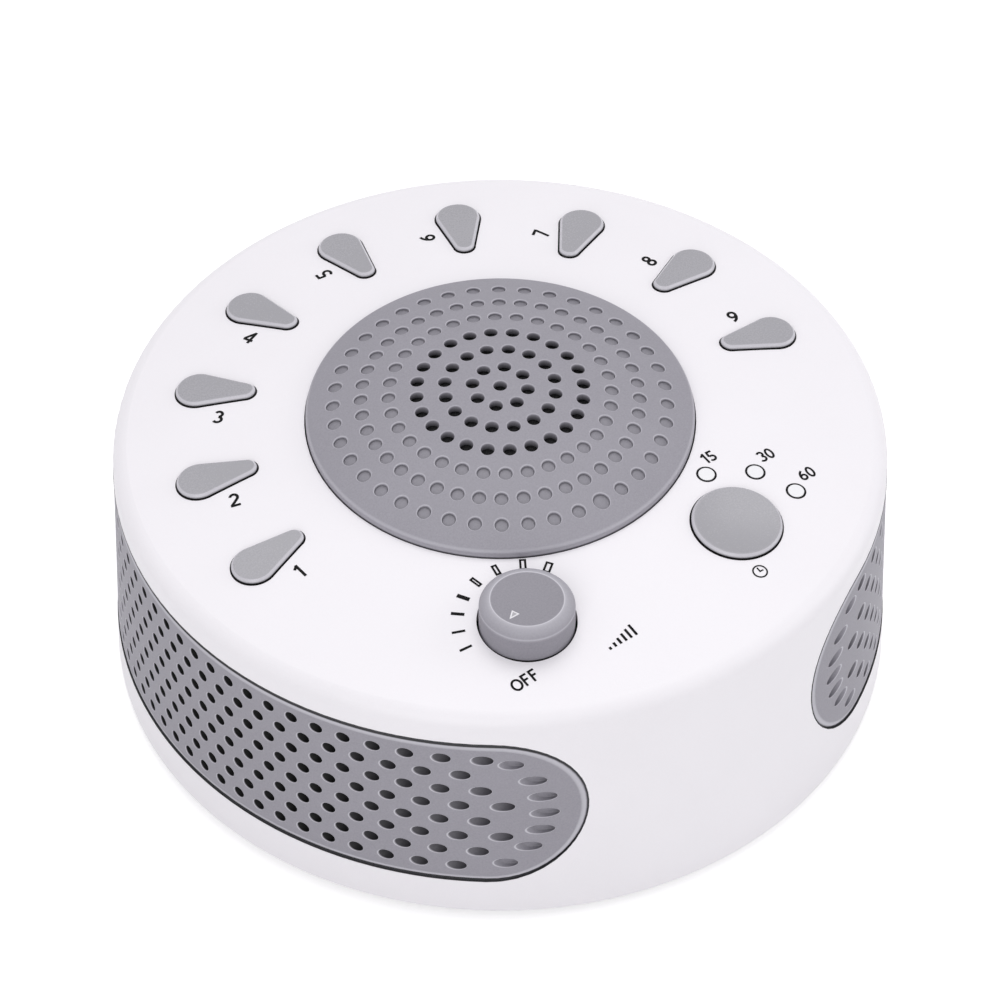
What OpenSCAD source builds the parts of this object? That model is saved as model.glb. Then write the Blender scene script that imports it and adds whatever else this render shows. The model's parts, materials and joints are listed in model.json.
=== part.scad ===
// White noise sound machine: a round table unit with a domed speaker grille,
// nine sound buttons, a timer button, a volume knob and two wrapped side grilles.
// Millimetres, +Z up. The origin is under the middle of the unit, on the table top,
// with the controls' front edge towards -Y.

/* [Body] */
// Diameter of the drum at its foot
body_d = 146; // [140:1:154]
// How much the drum's radius narrows from its foot up to the shoulder
wall_draft = 1.1; // [0.5:0.1:1.4]
// Height of the housing from its lower edge to the rim of the dome grille
body_h = 57; // [55:0.2:62]
// Wall thickness of the housing
wall_t = 2.2; // [1.8:0.1:2.6]
// Spherical radius of the gently crowned top face
crown_r = 400; // [320:10:700]
// Height of the shoulder arc, from the straight wall up to the crease
shoulder_h = 3.3; // [3.1:0.1:4]
// How far the shoulder arc steps in from the straight wall to the crease
shoulder_in = 2.6; // [2:0.1:2.9]
// Chamfer round the housing's lower edge
foot_edge = 0.8; // [0.4:0.1:1.2]
// How far the feet stand out below the housing
foot_proud = 1.4; // [1:0.1:2.4]
// General clearance between moulded pieces
fit_gap = 0.25; // [0.2:0.05:0.3]

/* [Dome grille] */
// Radius of the dome grille at its rim
dome_r = 36; // [34.5:0.5:36.5]
// Rise of the dome above its rim
dome_rise = 6.8; // [6:0.1:9]
// Height of the rim's upright edge above the top face
dome_lip = 1.6; // [1:0.1:2]
// Chamfer round the dome's rim
dome_edge = 0.5; // [0.3:0.1:0.8]
// Thickness of the dome's shell
dome_t = 2; // [1.6:0.1:2.4]
// Radial step from one ring of holes to the next
ring_step = 5.15; // [4.9:0.01:5.3]
// Diameter of the sound holes
dome_hole_d = 2.5; // [2:0.1:2.9]
// Depth of the blind dimples in the outer rings
dimple_depth = 0.8; // [0.5:0.1:1.1]
// Diameter of the one larger dimple, on the front centre line
marker_dimple_d = 3.1; // [2.8:0.1:3.6]

/* [Side grilles] */
// Distance from the housing's lower edge up to the side grilles
side_foot = 8.8; // [8:0.2:11]
// Distance from the side grilles up to the rim of the dome grille
side_head = 12.6; // [12:0.2:14]
// Angle from the grille's middle round to each of its ends
side_half_angle = 70.2; // [66:0.1:72]
// Thickness of the grille's retaining rim behind the wall
side_rim_t = 1.3; // [1:0.1:1.6]
// Diameter of the side sound holes
side_hole_d = 2.3; // [1.8:0.1:2.6]
// Hole spacing along a row, seen square to the grille
side_pitch_y = 4.54; // [4.4:0.02:4.8]
// Spacing of the rows
side_pitch_z = 3.99; // [3.8:0.01:4.1]
// Least distance from the rows to the grille's upper and lower edges
row_edge = 3.8; // [3.4:0.1:5]
// Spacing of the dimples in the curved column at each end
end_pitch = 4.3; // [4:0.1:4.5]
// Distance from the grille's tip in to the middle dimple of that column
end_inset = 8; // [7:0.1:9]
// Radius of the arc that the end column follows
end_column_r = 16; // [15:0.2:24]

/* [Sound buttons] */
// Number of sound buttons
button_count = 9; // [5:1:9]
// Angle between neighbouring sound buttons
button_step = 24.1; // [22:0.1:24.4]
// Distance from the top face's outer crease in to the middle of a button's wide end
button_inset = 12.2; // [11.4:0.1:13]
// Distance between the middles of a button's two ends
button_l = 9.1; // [8:0.1:9.8]
// Radius of a button's wide end
button_wide = 4.2; // [3.8:0.1:4.5]
// Radius of a button's narrow end
button_narrow = 1.9; // [1.7:0.1:2.2]
// How far the button tops stand above the top face
button_proud = 0.9; // [0.8:0.1:1.4]
// Bevel round the top of the buttons
bevel = 0.55; // [0.3:0.05:0.7]
// Gap round the buttons, and from their flanges up to the top face's inside
button_gap = 0.3; // [0.25:0.05:0.35]

/* [Timer and volume] */
// Distance from the dome grille's rim to the edge of the timer button
control_gap = 5.8; // [5.6:0.1:6.6]
// Angle of the timer button and of the knob to either side of the front
control_angle = 26.8; // [26:0.1:29]
// Diameter of the timer button
timer_d = 16.8; // [15:0.1:17.4]
// Distance from the timer button's middle to the middle one of its three lights
light_r = 13.5; // [13.2:0.1:14]
// Diameter of each light's lens
lens_d = 3; // [2.4:0.1:3.2]
// Diameter of the knob's skirt
knob_d = 17.4; // [16:0.1:18]
// Height of the knob above the top face
knob_h = 5.6; // [5:0.1:7]
// Radius of the knob's rounded shoulder
knob_round = 2; // [1.4:0.1:2.4]
// Gap round the knob in its opening
knob_gap = 0.4; // [0.3:0.05:0.5]
// Diameter of the potentiometer's shaft
shaft_d = 6; // [5:0.5:6]

/* [Inside] */
// Depth of the control board's upper face below the top face at the dome
board_drop = 12.8; // [12.6:0.1:13.4]
// Thickness of the circuit boards
board_t = 1.6; // [1.2:0.2:2]
// Distance from the housing's foot in to the control board's outer edge
board_inset = 8; // [7:0.1:9]
// Height of the push switches on the control board
switch_h = 3.4; // [3.1:0.1:3.6]
// Radius of the loudspeaker's frame
speaker_r = 33.5; // [32:0.1:33.5]
// Depth of the loudspeaker's frame
speaker_depth = 15; // [13:0.5:18]
// Radius of the loudspeaker's magnet
magnet_r = 19; // [17:0.5:20]
// Thickness of the loudspeaker's magnet
magnet_h = 8; // [6:0.5:9]
// Distance from the housing's foot in to the base screws
post_inset = 11; // [10.5:0.1:11.5]
// Diameter of the base screws' shanks
screw_d = 2.9; // [2.5:0.1:3.2]
// Thickness of the base cover
base_t = 2.4; // [2:0.1:3]
// Radius of the rubber feet
foot_r = 5.5; // [4.5:0.1:7]
// Height of the power inlet's middle above the housing's lower edge
jack_h = 12; // [11:0.5:14]
// Bore radius of the power inlet
jack_bore = 2.8; // [2.5:0.1:3]

/* [Hidden] */
$fn = 64;
eps = 0.01;
rest_gap = 0.05;                          // between pieces that rest on each other
round_ease = 0.02;                        // keeps straight flanks just off tangent

// housing
foot_z = foot_proud;                      // lower edge of the housing
rim_z = foot_z + body_h;                  // rim of the dome grille
face_z = rim_z - dome_lip;                // top face where it meets the dome
crown_cz = face_z - sqrt(pow(crown_r, 2) - pow(dome_r, 2));
foot_rim_r = body_d / 2;
wall_top_r = foot_rim_r - wall_draft;     // radius where the shoulder starts
crease_r = wall_top_r - shoulder_in;
crease_z = crown_z(crease_r);
shoulder_z = crease_z - shoulder_h;
shoulder_r = (pow(shoulder_in, 2) + pow(shoulder_h, 2)) / (2 * shoulder_in);
shoulder_c = wall_top_r - shoulder_r;

// height of the top face, and its slope in degrees, at radius r
function crown_z(r) = crown_cz + sqrt(pow(crown_r, 2) - pow(r, 2));
function crown_slope(r) = asin(r / crown_r);
// outer radius of the straight wall at height z
function wall_r(z) = wall_top_r + wall_draft * (shoulder_z - z) / (shoulder_z - foot_z);

// dome grille
cap_r = (pow(dome_r, 2) + pow(dome_rise, 2)) / (2 * dome_rise);
cap_cz = rim_z + dome_rise - cap_r;
dome_turn = 4.2;                          // the hole rings' angle against the front
ring_counts = [1, 8, 16, 24, 32, 40, 40];
open_rings = 3;                           // rings of through-holes round the middle one
seat_w = 2;                               // width of the housing's seat round the dome
seat_z = crown_z(dome_r + seat_w) - wall_t - 0.1;
flange_t = 1.7;
flange_r = dome_r + 1.4;
boss_r = 2.6;
pilot_r = 1.05;
cloth_t = 0.4;

// loudspeaker
speaker_boss_r = speaker_r - 2.3;
speaker_screw_az = [45, 135, 225, 315];
flange_in = speaker_boss_r - boss_r - 1.8;
gasket_t = 0.6;
frame_z = seat_z - flange_t - gasket_t;   // front face of the speaker's frame
frame_t = 1.2;
basket_in = speaker_r - 8;
basket_floor = 1.2;
window_w = 14;                            // of the windows in the basket's flank
plate_z = frame_z - speaker_depth;        // front of the magnet system
plate_t = 1.6;                            // its front plate
yoke_t = 2;
pole_r = 7.2;
coil_r = 8;
coil_t = 0.4;
gap_r = 9;                                // bore of the front plate
cone_depth = 9.5;
roll_r = 1.2;                             // radius of the surround's half roll
roll_c = basket_in - roll_r - 0.1;
cone_r = roll_c - roll_r - 0.1;

// side grilles
side_h = body_h - side_foot - side_head;
side_cz = foot_z + side_foot + side_h / 2;
side_rows = floor((side_h - 2 * row_edge) / side_pitch_z) + 1;
side_r = wall_r(side_cz);
side_tip = side_r * side_half_angle * PI / 180;
side_gap = 0.3;
side_inset = 0.05;                        // the panel lies this far under the wall's face
side_panel_t = wall_t + 0.1;
side_rim_w = 1.8;
side_rim_in = 2.2;
side_points = 20;
end_depth = 1.1;
end_edge = 4.8;                           // least distance from the end dimples to those edges
end_dimples = floor((side_h - 2 * end_edge) / end_pitch) + 1;
end_column_c = side_tip - end_inset - end_column_r;
hole_room = 4.2;                          // least distance from a hole to an end dimple

// keys and their switches
button_r_out = crease_r - button_inset;   // middle of a button's wide end
button_r_in = button_r_out - button_l;    // and of its narrow end
button_mid = (button_r_in + button_r_out) / 2;
key_fn = 40;
key_flange_z = -wall_t - button_gap;      // top of a key's flange, from the top face
key_flange_t = 1.2;
key_flange_w = 1.1;
stem_r = 1.6;
stem_gap = 0.3;
switch_w = 6;
switch_floor = 0.8;
plunger_r = 1.7;
plunger_h = 0.9;                          // above the switch
plunger_sunk = 0.9;                       // inside the switch, at rest
plunger_gap = 0.15;
board_top = face_z - board_drop;
plunger_top = board_top + switch_h + plunger_h;
timer_dish = 0.22;
timer_dish_r = 120;

// timer button and knob
control_r = dome_r + control_gap + timer_d / 2;

// lights, from the one for 60 minutes to the one for 15
timer_az = -90 + control_angle;
light_angles = [7, 41.5, 82.4];
light_spread = 0.9;
lens_gap = 0.15;
lens_flange_t = 0.9;
lens_flange_w = 0.5;
led_l = 2.8;
led_w = 3.5;
led_h = 1.9;
led_gap = 0.4;

// knob and potentiometer
knob_az = -90 - control_angle;
knob_xy = [control_r * cos(knob_az), control_r * sin(knob_az)];
knob_top = crown_z(control_r) + knob_h;
knob_skirt_z = knob_top - knob_round;
knob_wall = 1.6;
knob_roof = 1.4;                          // below the rounded shoulder
knob_dish = 0.25;
knob_dish_r = 90;
hub_t = 1.4;
pointer_az = 205;                         // where the pointer looks at rest
pointer_r = 4.6;
pointer_sunk = 0.3;
pointer_h = 0.5;
pot_r = 8;
pot_h = 5.4;
pot_floor = 0.7;
bushing_t = 1;
bushing_h = 1.6;
shaft_gap = 0.05;
shaft_flat = 1.5;                         // depth of the shaft's flat
knob_foot = board_top + pot_h + bushing_h + 0.4;
shaft_top = knob_skirt_z - 0.4;

// posts, boards and base
post_r = foot_rim_r - post_inset;
board_out = foot_rim_r - board_inset;
board_pin_edge = 4;                       // from the board's edge in to its screws
posts = [90 - 2.5 * button_step, 90 + 2.5 * button_step, -30, -150];
post_t = 3.6;                             // outer radius of a screw post
post_bore = 12;                           // pilot hole of a base screw, from the base cover
board_bore = 6;                           // and of a board screw, from under the board
board_pins = [90 - 3.5 * button_step, 90 + 0.5 * button_step, 90 + 3.5 * button_step, -90];
board_pin_r = board_out - board_pin_edge;
board_in = speaker_r + 2.5;
base_top = foot_z + base_t;
ledge_t = 2;
ledge_w = 1.6;
rib_h = 3.4;
rib_t = 1.6;
screw_head_r = 2.8;
screw_head_h = 1.2;
screw_l = 10;                             // below the head
small_head_r = 1.9;                       // board and speaker screws
small_head_h = 1;
board_screw_l = 5.6;
speaker_screw_l = 4.4;
screw_tip = 0.5;                          // chamfer at the end
slot_w = 0.7;                             // cross slot in a screw's head
foot_az = [60, 120, -60, -120];
foot_inset = 16;                          // from the housing's foot in to the feet
foot_ring = foot_rim_r - foot_inset;
foot_sunk = 0.8;
foot_soft = 0.5;                          // chamfer on a foot's sole
jack_z = foot_z + jack_h;
jack_r = jack_bore + 1.5;
jack_pin = 1.05;
jack_len = 12;
jack_face = wall_r(jack_z) - 0.6;         // where the inlet's face ends
power_z = jack_z - jack_r - board_t;
power_inset = 18;                         // from the housing's foot in to the board's pins
power_y = foot_rim_r - power_inset;
power_w = 30;
power_l = 22;
stand_x = 11;
stand_r = 2.2;
stake_r = 0.9;                            // pins that hold the power board

// ---- outlines -------------------------------------------------------------

// half section of the drum, set in by the given wall
module drum_half(inset) {
    arc_r = shoulder_r - inset;
    rounded = arc_r > 0.3;
    intersection() {
        union() {
            polygon([
                [0, foot_z - inset], [foot_rim_r - inset - foot_edge, foot_z - inset],
                [foot_rim_r - inset, foot_z - inset + foot_edge],
                [wall_top_r - inset, shoulder_z], [0, shoulder_z]
            ]);
            if (rounded)
                translate([shoulder_c, shoulder_z])
                    circle(r = arc_r);
            translate([0, shoulder_z - eps])
                square([
                    shoulder_c + arc_r * (rounded ? (crease_r - shoulder_c) / shoulder_r : 1),
                    rim_z
                ]);
        }
        translate([0, crown_cz])
            circle(r = crown_r - inset, $fn = 720);
        translate([0, foot_z - inset])
            square([body_d, rim_z]);
    }
}

// the drum as a solid, set in by the given wall
module drum(inset) {
    rotate_extrude($fn = 180)
        drum_half(inset);
}

// layer of the drum's wall between two depths
module layer(from, to) {
    difference() {
        drum(from);
        drum(to);
    }
}

// tear shape along x: narrow end inward, wide end outward, grown by g
module tear(g = 0) {
    a = button_r_in - button_mid;
    b = button_r_out - button_mid;
    rn = button_narrow + g;
    rw = button_wide + g;
    lean = asin((rw - rn) / (b - a));
    pn = rn - round_ease;
    pw = rw - round_ease;
    translate([a, 0])
        circle(r = rn);
    translate([b, 0])
        circle(r = rw);
    polygon([
        [a - pn * sin(lean), pn * cos(lean)], [b - pw * sin(lean), pw * cos(lean)],
        [b - pw * sin(lean), -pw * cos(lean)], [a - pn * sin(lean), -pn * cos(lean)]
    ]);
}

// from a distance round the wall, at mid height, to one across the grille, and back
function side_y(s) = side_r * sin(s / side_r * 180 / PI);
function side_s(y) = side_r * asin(y / side_r) * PI / 180;

// outline of a side grille seen along x, grown by g: a slot with round ends that is
// wrapped round the wall
function side_end(g) = [
    for (i = [0 : side_points])
        let (t = -90 + 180 * i / side_points)
        [
            side_y(side_tip - side_h / 2 + (side_h / 2 + g) * cos(t)),
            side_cz + (side_h / 2 + g) * sin(t)
        ]
];
module side_outline(g = 0) {
    right = side_end(g);
    left = [for (i = [side_points : -1 : 0]) [-right[i][0], right[i][1]]];
    polygon(concat(right, left));
}

// runs a Y-Z outline along +X, from the axis out past the wall
module along_x() {
    rotate([90, 0, 90])
        linear_extrude(foot_rim_r + 5)
            children();
}

module ring(r_out, r_in, h) {
    difference() {
        cylinder(r = r_out, h = h);
        translate([0, 0, -1])
            cylinder(r = r_in, h = h + 2);
    }
}

// ---- frames ---------------------------------------------------------------

// origin on the top face at azimuth az and radius r, z square to the face
module on_face(az, r) {
    rotate([0, 0, az])
        translate([r, 0, crown_z(r)])
            rotate([0, crown_slope(r), 0])
                children();
}
// where the square to the face at radius r comes down to height z
function foot_below(r, z) = r - (crown_z(r) - z) * tan(crown_slope(r));

module round_az(list, r) {
    for (az = list)
        rotate([0, 0, az])
            translate([r, 0, 0])
                children();
}
function button_az(k) = 90 + ((button_count + 1) / 2 - k) * button_step;
module at_button(k) {
    on_face(button_az(k), button_mid)
        children();
}
module at_timer() {
    on_face(timer_az, control_r)
        children();
}
function light_xy(i) = [
    control_r * cos(timer_az) + (light_r + (1 - i) * light_spread) * cos(light_angles[i]),
    control_r * sin(timer_az) + (light_r + (1 - i) * light_spread) * sin(light_angles[i])
];
function light_az(i) = atan2(light_xy(i)[1], light_xy(i)[0]);
module at_light(i) {
    on_face(light_az(i), norm(light_xy(i)))
        children();
}
module at_knob() {
    translate([knob_xy[0], knob_xy[1], 0])
        rotate([0, 0, pointer_az])
            children();
}

// ---- housing --------------------------------------------------------------

module side_openings() {
    along_x()
        side_outline(side_gap);
    mirror([1, 0, 0])
        along_x()
            side_outline(side_gap);
}

// openings in the top face for the keys, the lights and the knob
module face_openings() {
    depth = wall_t + 1.2;
    height = depth + 3;
    for (k = [1 : button_count])
        at_button(k)
            translate([0, 0, -depth])
                linear_extrude(height)
                    tear(button_gap);
    at_timer()
        translate([0, 0, -depth])
            cylinder(r = timer_d / 2 + button_gap, h = height);
    for (i = [0 : 2])
        at_light(i)
            translate([0, 0, -depth])
                cylinder(r = lens_d / 2 + lens_gap, h = height);
    translate([knob_xy[0], knob_xy[1], knob_foot - 2])
        cylinder(r = knob_d / 2 + knob_gap, h = rim_z);
}

module top_housing() {
    color("#f3f2f5")
    difference() {
        union() {
            difference() {
                layer(0, wall_t);
                side_openings();
            }
            // flat seat under the top face for the dome's flange
            intersection() {
                translate([0, 0, seat_z])
                    ring(dome_r + seat_w, dome_r + fit_gap, 6);
                drum(wall_t / 2);
            }
            // ledge that the base cover closes against
            translate([0, 0, base_top])
                ring(wall_r(base_top) - wall_t / 2, wall_r(base_top) - wall_t - ledge_w, ledge_t);
            // screw posts and board bosses hang from the top face
            intersection() {
                union() {
                    round_az(posts, post_r)
                        translate([0, 0, base_top])
                            cylinder(r = post_t, h = rim_z);
                    round_az(board_pins, board_pin_r)
                        translate([0, 0, board_top])
                            cylinder(r = boss_r, h = rim_z);
                }
                drum(wall_t / 2);
            }
        }
        translate([0, 0, seat_z - 1])
            cylinder(r = dome_r + fit_gap, h = rim_z);
        face_openings();
        // pilot holes for the screws
        round_az(posts, post_r)
            translate([0, 0, base_top - 1])
                cylinder(r = screw_d / 2 + rest_gap, h = post_bore);
        round_az(board_pins, board_pin_r)
            translate([0, 0, board_top - 1])
                cylinder(r = pilot_r, h = board_bore);
        // inlet hole in the rear wall
        translate([0, wall_r(jack_z) - wall_t - 4, jack_z])
            rotate([-90, 0, 0])
                cylinder(r = jack_r + fit_gap, h = wall_t + 8);
    }
}

module base_cover() {
    rib_r = wall_r(base_top) - wall_t - ledge_w - fit_gap;
    color("#ecebee")
    difference() {
        union() {
            translate([0, 0, foot_z])
                cylinder(r = foot_rim_r - wall_t - fit_gap, h = base_t);
            // rib that centres the cover inside the ledge
            translate([0, 0, base_top - eps])
                ring(rib_r, rib_r - rib_t, rib_h);
            // stands for the power board, with a pin on each
            for (x = [-stand_x, stand_x])
                translate([x, power_y, base_top - eps]) {
                    cylinder(r = stand_r, h = power_z - base_top + eps);
                    cylinder(r = stake_r, h = power_z - base_top + board_t + 0.6);
                }
        }
        // counterbored screw holes
        round_az(posts, post_r)
            translate([0, 0, foot_z - 1]) {
                cylinder(r = screw_d / 2 + fit_gap, h = base_t + 2);
                cylinder(r = screw_head_r + 0.3, h = 1 + screw_head_h);
            }
        // pockets for the feet
        round_az(foot_az, foot_ring)
            translate([0, 0, foot_z - 1])
                cylinder(r = foot_r + 0.1, h = 1 + foot_sunk);
    }
}

// ---- grilles --------------------------------------------------------------

function cap_z(r) = cap_cz + sqrt(pow(cap_r, 2) - pow(r, 2));
module ring_of_holes(i) {
    n = ring_counts[i];
    for (k = [0 : n - 1])
        rotate([0, 0, dome_turn + 360 * k / n])
            translate([i * ring_step, 0, 0])
                children();
}
// round cap of the given sphere radius and rim radius, standing on height z
module cap(r, rim, z) {
    intersection() {
        translate([0, 0, cap_cz])
            sphere(r = r, $fn = 180);
        translate([0, 0, z])
            cylinder(r = rim, h = rim_z, $fn = 180);
    }
}
module speaker_bosses(h) {
    round_az(speaker_screw_az, speaker_boss_r)
        translate([0, 0, frame_z])
            cylinder(r = boss_r, h = h);
}

module dome_grille() {
    flange_z = seat_z - flange_t;
    edge_z = rim_z - dome_edge;
    color("#98979d")
    difference() {
        union() {
            // cap with an upright, chamfered edge and a skirt
            intersection() {
                cap(cap_r, dome_r, flange_z);
                translate([0, 0, flange_z])
                    cylinder(r1 = dome_r + edge_z - flange_z, r2 = dome_r - dome_edge - dome_rise,
                             h = rim_z + dome_rise - flange_z, $fn = 180);
            }
            translate([0, 0, flange_z])
                cylinder(r = flange_r, h = flange_t);
            speaker_bosses(2);
        }
        difference() {
            union() {
                cap(cap_r - dome_t, dome_r - dome_t, seat_z - eps);
                translate([0, 0, flange_z - 1])
                    cylinder(r = flange_in, h = flange_t + 2);
            }
            speaker_bosses(5);
        }
        round_az(speaker_screw_az, speaker_boss_r)
            translate([0, 0, frame_z - 1])
                cylinder(r = pilot_r, h = 5);
        // through-holes in the middle, blind dimples outside
        for (i = [0 : open_rings])
            ring_of_holes(i)
                translate([0, 0, seat_z])
                    cylinder(d = dome_hole_d, h = rim_z, $fn = 24);
        for (i = [open_rings + 1 : len(ring_counts) - 1])
            ring_of_holes(i)
                translate([0, 0, cap_z(i * ring_step) - dimple_depth])
                    cylinder(d = dome_hole_d, h = dome_rise, $fn = 24);
        rotate([0, 0, -90 + dome_turn])
            translate([6 * ring_step, 0, cap_z(6 * ring_step) - dimple_depth])
                cylinder(d = marker_dimple_d, h = dome_rise, $fn = 24);
    }
}
module dome_scrim() {
    color("#1d1d1f")
    intersection() {
        difference() {
            translate([0, 0, cap_cz])
                sphere(r = cap_r - dome_t - rest_gap, $fn = 180);
            translate([0, 0, cap_cz])
                sphere(r = cap_r - dome_t - rest_gap - cloth_t, $fn = 180);
        }
        translate([0, 0, rim_z])
            cylinder(r = ring_step * (open_rings + 1), h = dome_rise);
    }
}

// height and place of the end column's dimples
function end_dz(k) = (k - (end_dimples - 1) / 2) * end_pitch;
function end_s(dz) = end_column_c + sqrt(pow(end_column_r, 2) - pow(dz, 2));
// distance from a place on the grille to the nearest of them
function end_room(s, dz) = min([
    for (k = [0 : end_dimples - 1]) norm([end_s(end_dz(k)) - s, end_dz(k) - dz])
]);
module side_lattice() {
    last = ceil(side_r / side_pitch_y);
    for (j = [0 : side_rows - 1], k = [-last : last]) {
        dz = (j - (side_rows - 1) / 2) * side_pitch_z;
        y = (k + ((j % 2 == 0) ? 0.5 : 0)) * side_pitch_y;
        if (abs(y) < side_r - 2)
            if (abs(side_s(y)) < end_s(dz) && end_room(abs(side_s(y)), dz) > hole_room)
                translate([y, side_cz + dz])
                    circle(d = side_hole_d, $fn = 24);
    }
}
module side_end_dimples() {
    for (m = [-1, 1], k = [0 : end_dimples - 1])
        translate([m * side_y(end_s(end_dz(k))), side_cz + end_dz(k)])
            circle(d = side_hole_d, $fn = 24);
}

module side_grille() {
    color("#98979d")
    difference() {
        union() {
            intersection() {
                layer(side_inset, side_panel_t);
                along_x()
                    side_outline();
            }
            // retaining rim behind the wall
            intersection() {
                layer(wall_t + side_inset, wall_t + side_inset + side_rim_t);
                along_x()
                    difference() {
                        side_outline(side_rim_w);
                        side_outline(-side_rim_in);
                    }
            }
        }
        along_x()
            side_lattice();
        // end dimples stop short of the back
        difference() {
            along_x()
                side_end_dimples();
            drum(side_inset + end_depth);
        }
    }
}
module side_scrim() {
    color("#1d1d1f")
    intersection() {
        layer(side_panel_t + rest_gap, side_panel_t + rest_gap + cloth_t);
        along_x()
            side_outline(-side_rim_in - 0.3);
    }
}

// ---- keys -----------------------------------------------------------------

// a stem square to the top face, down to just above the switch's plunger
module key_stem(r) {
    reach = (crown_z(r) - plunger_top) / cos(crown_slope(r)) - stem_gap;
    translate([0, 0, -reach])
        cylinder(r = stem_r, h = reach + key_flange_z);
}
module sound_button(k) {
    color("#a7a6ab")
    at_button(k) {
        hull() {
            translate([0, 0, key_flange_z - eps])
                linear_extrude(button_proud - bevel - key_flange_z)
                    tear($fn = key_fn);
            linear_extrude(button_proud)
                tear(-bevel, $fn = key_fn);
        }
        translate([0, 0, key_flange_z - key_flange_t])
            linear_extrude(key_flange_t)
                tear(key_flange_w);
        key_stem(button_mid);
    }
}
module timer_button() {
    color("#a7a6ab")
    at_timer() {
        difference() {
            rotate_extrude()
                polygon([
                    [0, key_flange_z - eps], [timer_d / 2, key_flange_z - eps],
                    [timer_d / 2, button_proud - bevel], [timer_d / 2 - bevel, button_proud],
                    [0, button_proud]
                ]);
            // very slightly dished top
            translate([0, 0, button_proud + timer_dish_r - timer_dish])
                sphere(r = timer_dish_r, $fn = 180);
        }
        translate([0, 0, key_flange_z - key_flange_t])
            cylinder(r = timer_d / 2 + key_flange_w, h = key_flange_t);
        key_stem(control_r);
    }
}
module at_switch(az, r) {
    rotate([0, 0, az])
        translate([foot_below(r, plunger_top), 0, 0])
            children();
}
module plunger() {
    color("#2b2b2e")
    translate([0, 0, plunger_top - plunger_h - plunger_sunk])
        cylinder(r = plunger_r, h = plunger_h + plunger_sunk);
}
module switch_plunger(k) {
    at_switch(button_az(k), button_mid)
        plunger();
}
module timer_plunger() {
    at_switch(timer_az, control_r)
        plunger();
}
module tact_switch() {
    translate([0, 0, board_top])
        difference() {
            translate([-switch_w / 2, -switch_w / 2, 0])
                cube([switch_w, switch_w, switch_h]);
            translate([0, 0, switch_floor])
                cylinder(r = plunger_r + plunger_gap, h = switch_h);
        }
}
module tact_switches() {
    color("#3a3a3e") {
        for (k = [1 : button_count])
            at_switch(button_az(k), button_mid)
                tact_switch();
        at_switch(timer_az, control_r)
            tact_switch();
    }
}

// ---- knob and lights ------------------------------------------------------

module shaft_section(g = 0) {
    difference() {
        circle(r = shaft_d / 2 + g);
        translate([shaft_d / 2 - shaft_flat + g, -shaft_d])
            square(2 * shaft_d);
    }
}
module knob_section() {
    translate([0, knob_foot])
        square([knob_d / 2 - round_ease, knob_skirt_z - knob_foot]);
    translate([knob_d / 2 - knob_round, knob_skirt_z])
        circle(r = knob_round);
    translate([0, knob_skirt_z - knob_round])
        square([knob_d / 2 - knob_round, 2 * knob_round - round_ease]);
}
module pointer_outline(g = 0) {
    translate([pointer_r, 0])
        polygon([[1.35 + 2 * g, 0], [-0.85 - g, 0.85 + g], [-0.85 - g, -0.85 - g]]);
}
module volume_knob() {
    color("#98979d")
    at_knob()
        difference() {
            rotate_extrude()
                knob_section();
            // dished top
            translate([0, 0, knob_top + knob_dish_r - knob_dish])
                sphere(r = knob_dish_r, $fn = 180);
            // hollow underside round the hub
            translate([0, 0, knob_foot - 1])
                ring(knob_d / 2 - knob_wall, shaft_d / 2 + hub_t,
                     knob_skirt_z - knob_roof - knob_foot + 1);
            translate([0, 0, knob_foot - 1])
                linear_extrude(shaft_top - knob_foot + 1.2)
                    shaft_section(0.02);
            // seat of the pointer
            translate([0, 0, knob_top - knob_dish - pointer_sunk])
                linear_extrude(2)
                    pointer_outline();
        }
}
module knob_pointer() {
    color("#e6e6e8")
    at_knob()
        translate([0, 0, knob_top - knob_dish - pointer_sunk])
            linear_extrude(pointer_h)
                pointer_outline(-0.03);
}
module potentiometer_shaft() {
    color("#c9c9cc")
    at_knob() {
        translate([0, 0, board_top + pot_floor + 0.3])
            cylinder(r = shaft_d / 2, h = knob_foot - board_top - pot_floor - 0.3);
        translate([0, 0, knob_foot - eps])
            linear_extrude(shaft_top - knob_foot)
                shaft_section();
    }
}
module potentiometer_body() {
    color("#6d6e72")
    translate([knob_xy[0], knob_xy[1], board_top])
        difference() {
            union() {
                cylinder(r = pot_r, h = pot_h);
                translate([0, 0, pot_h - eps])
                    cylinder(r = shaft_d / 2 + bushing_t, h = bushing_h);
            }
            translate([0, 0, pot_floor])
                cylinder(r = shaft_d / 2 + shaft_gap, h = pot_h + bushing_h + 1);
        }
}
module timer_lens(i) {
    r = norm(light_xy(i));
    reach = (crown_z(r) - board_top - led_h - led_gap) / cos(crown_slope(r));
    color("#f7f7f8")
    at_light(i) {
        translate([0, 0, -reach])
            cylinder(r = lens_d / 2, h = reach + 0.1);
        translate([0, 0, -wall_t - lens_flange_t - rest_gap])
            cylinder(r = lens_d / 2 + lens_flange_w, h = lens_flange_t);
    }
}
module timer_leds() {
    color("#e9e7dc")
    for (i = [0 : 2])
        rotate([0, 0, light_az(i)])
            translate([foot_below(norm(light_xy(i)), board_top) - led_l / 2, -led_w / 2, board_top])
                cube([led_l, led_w, led_h]);
}

// ---- boards ---------------------------------------------------------------

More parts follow.
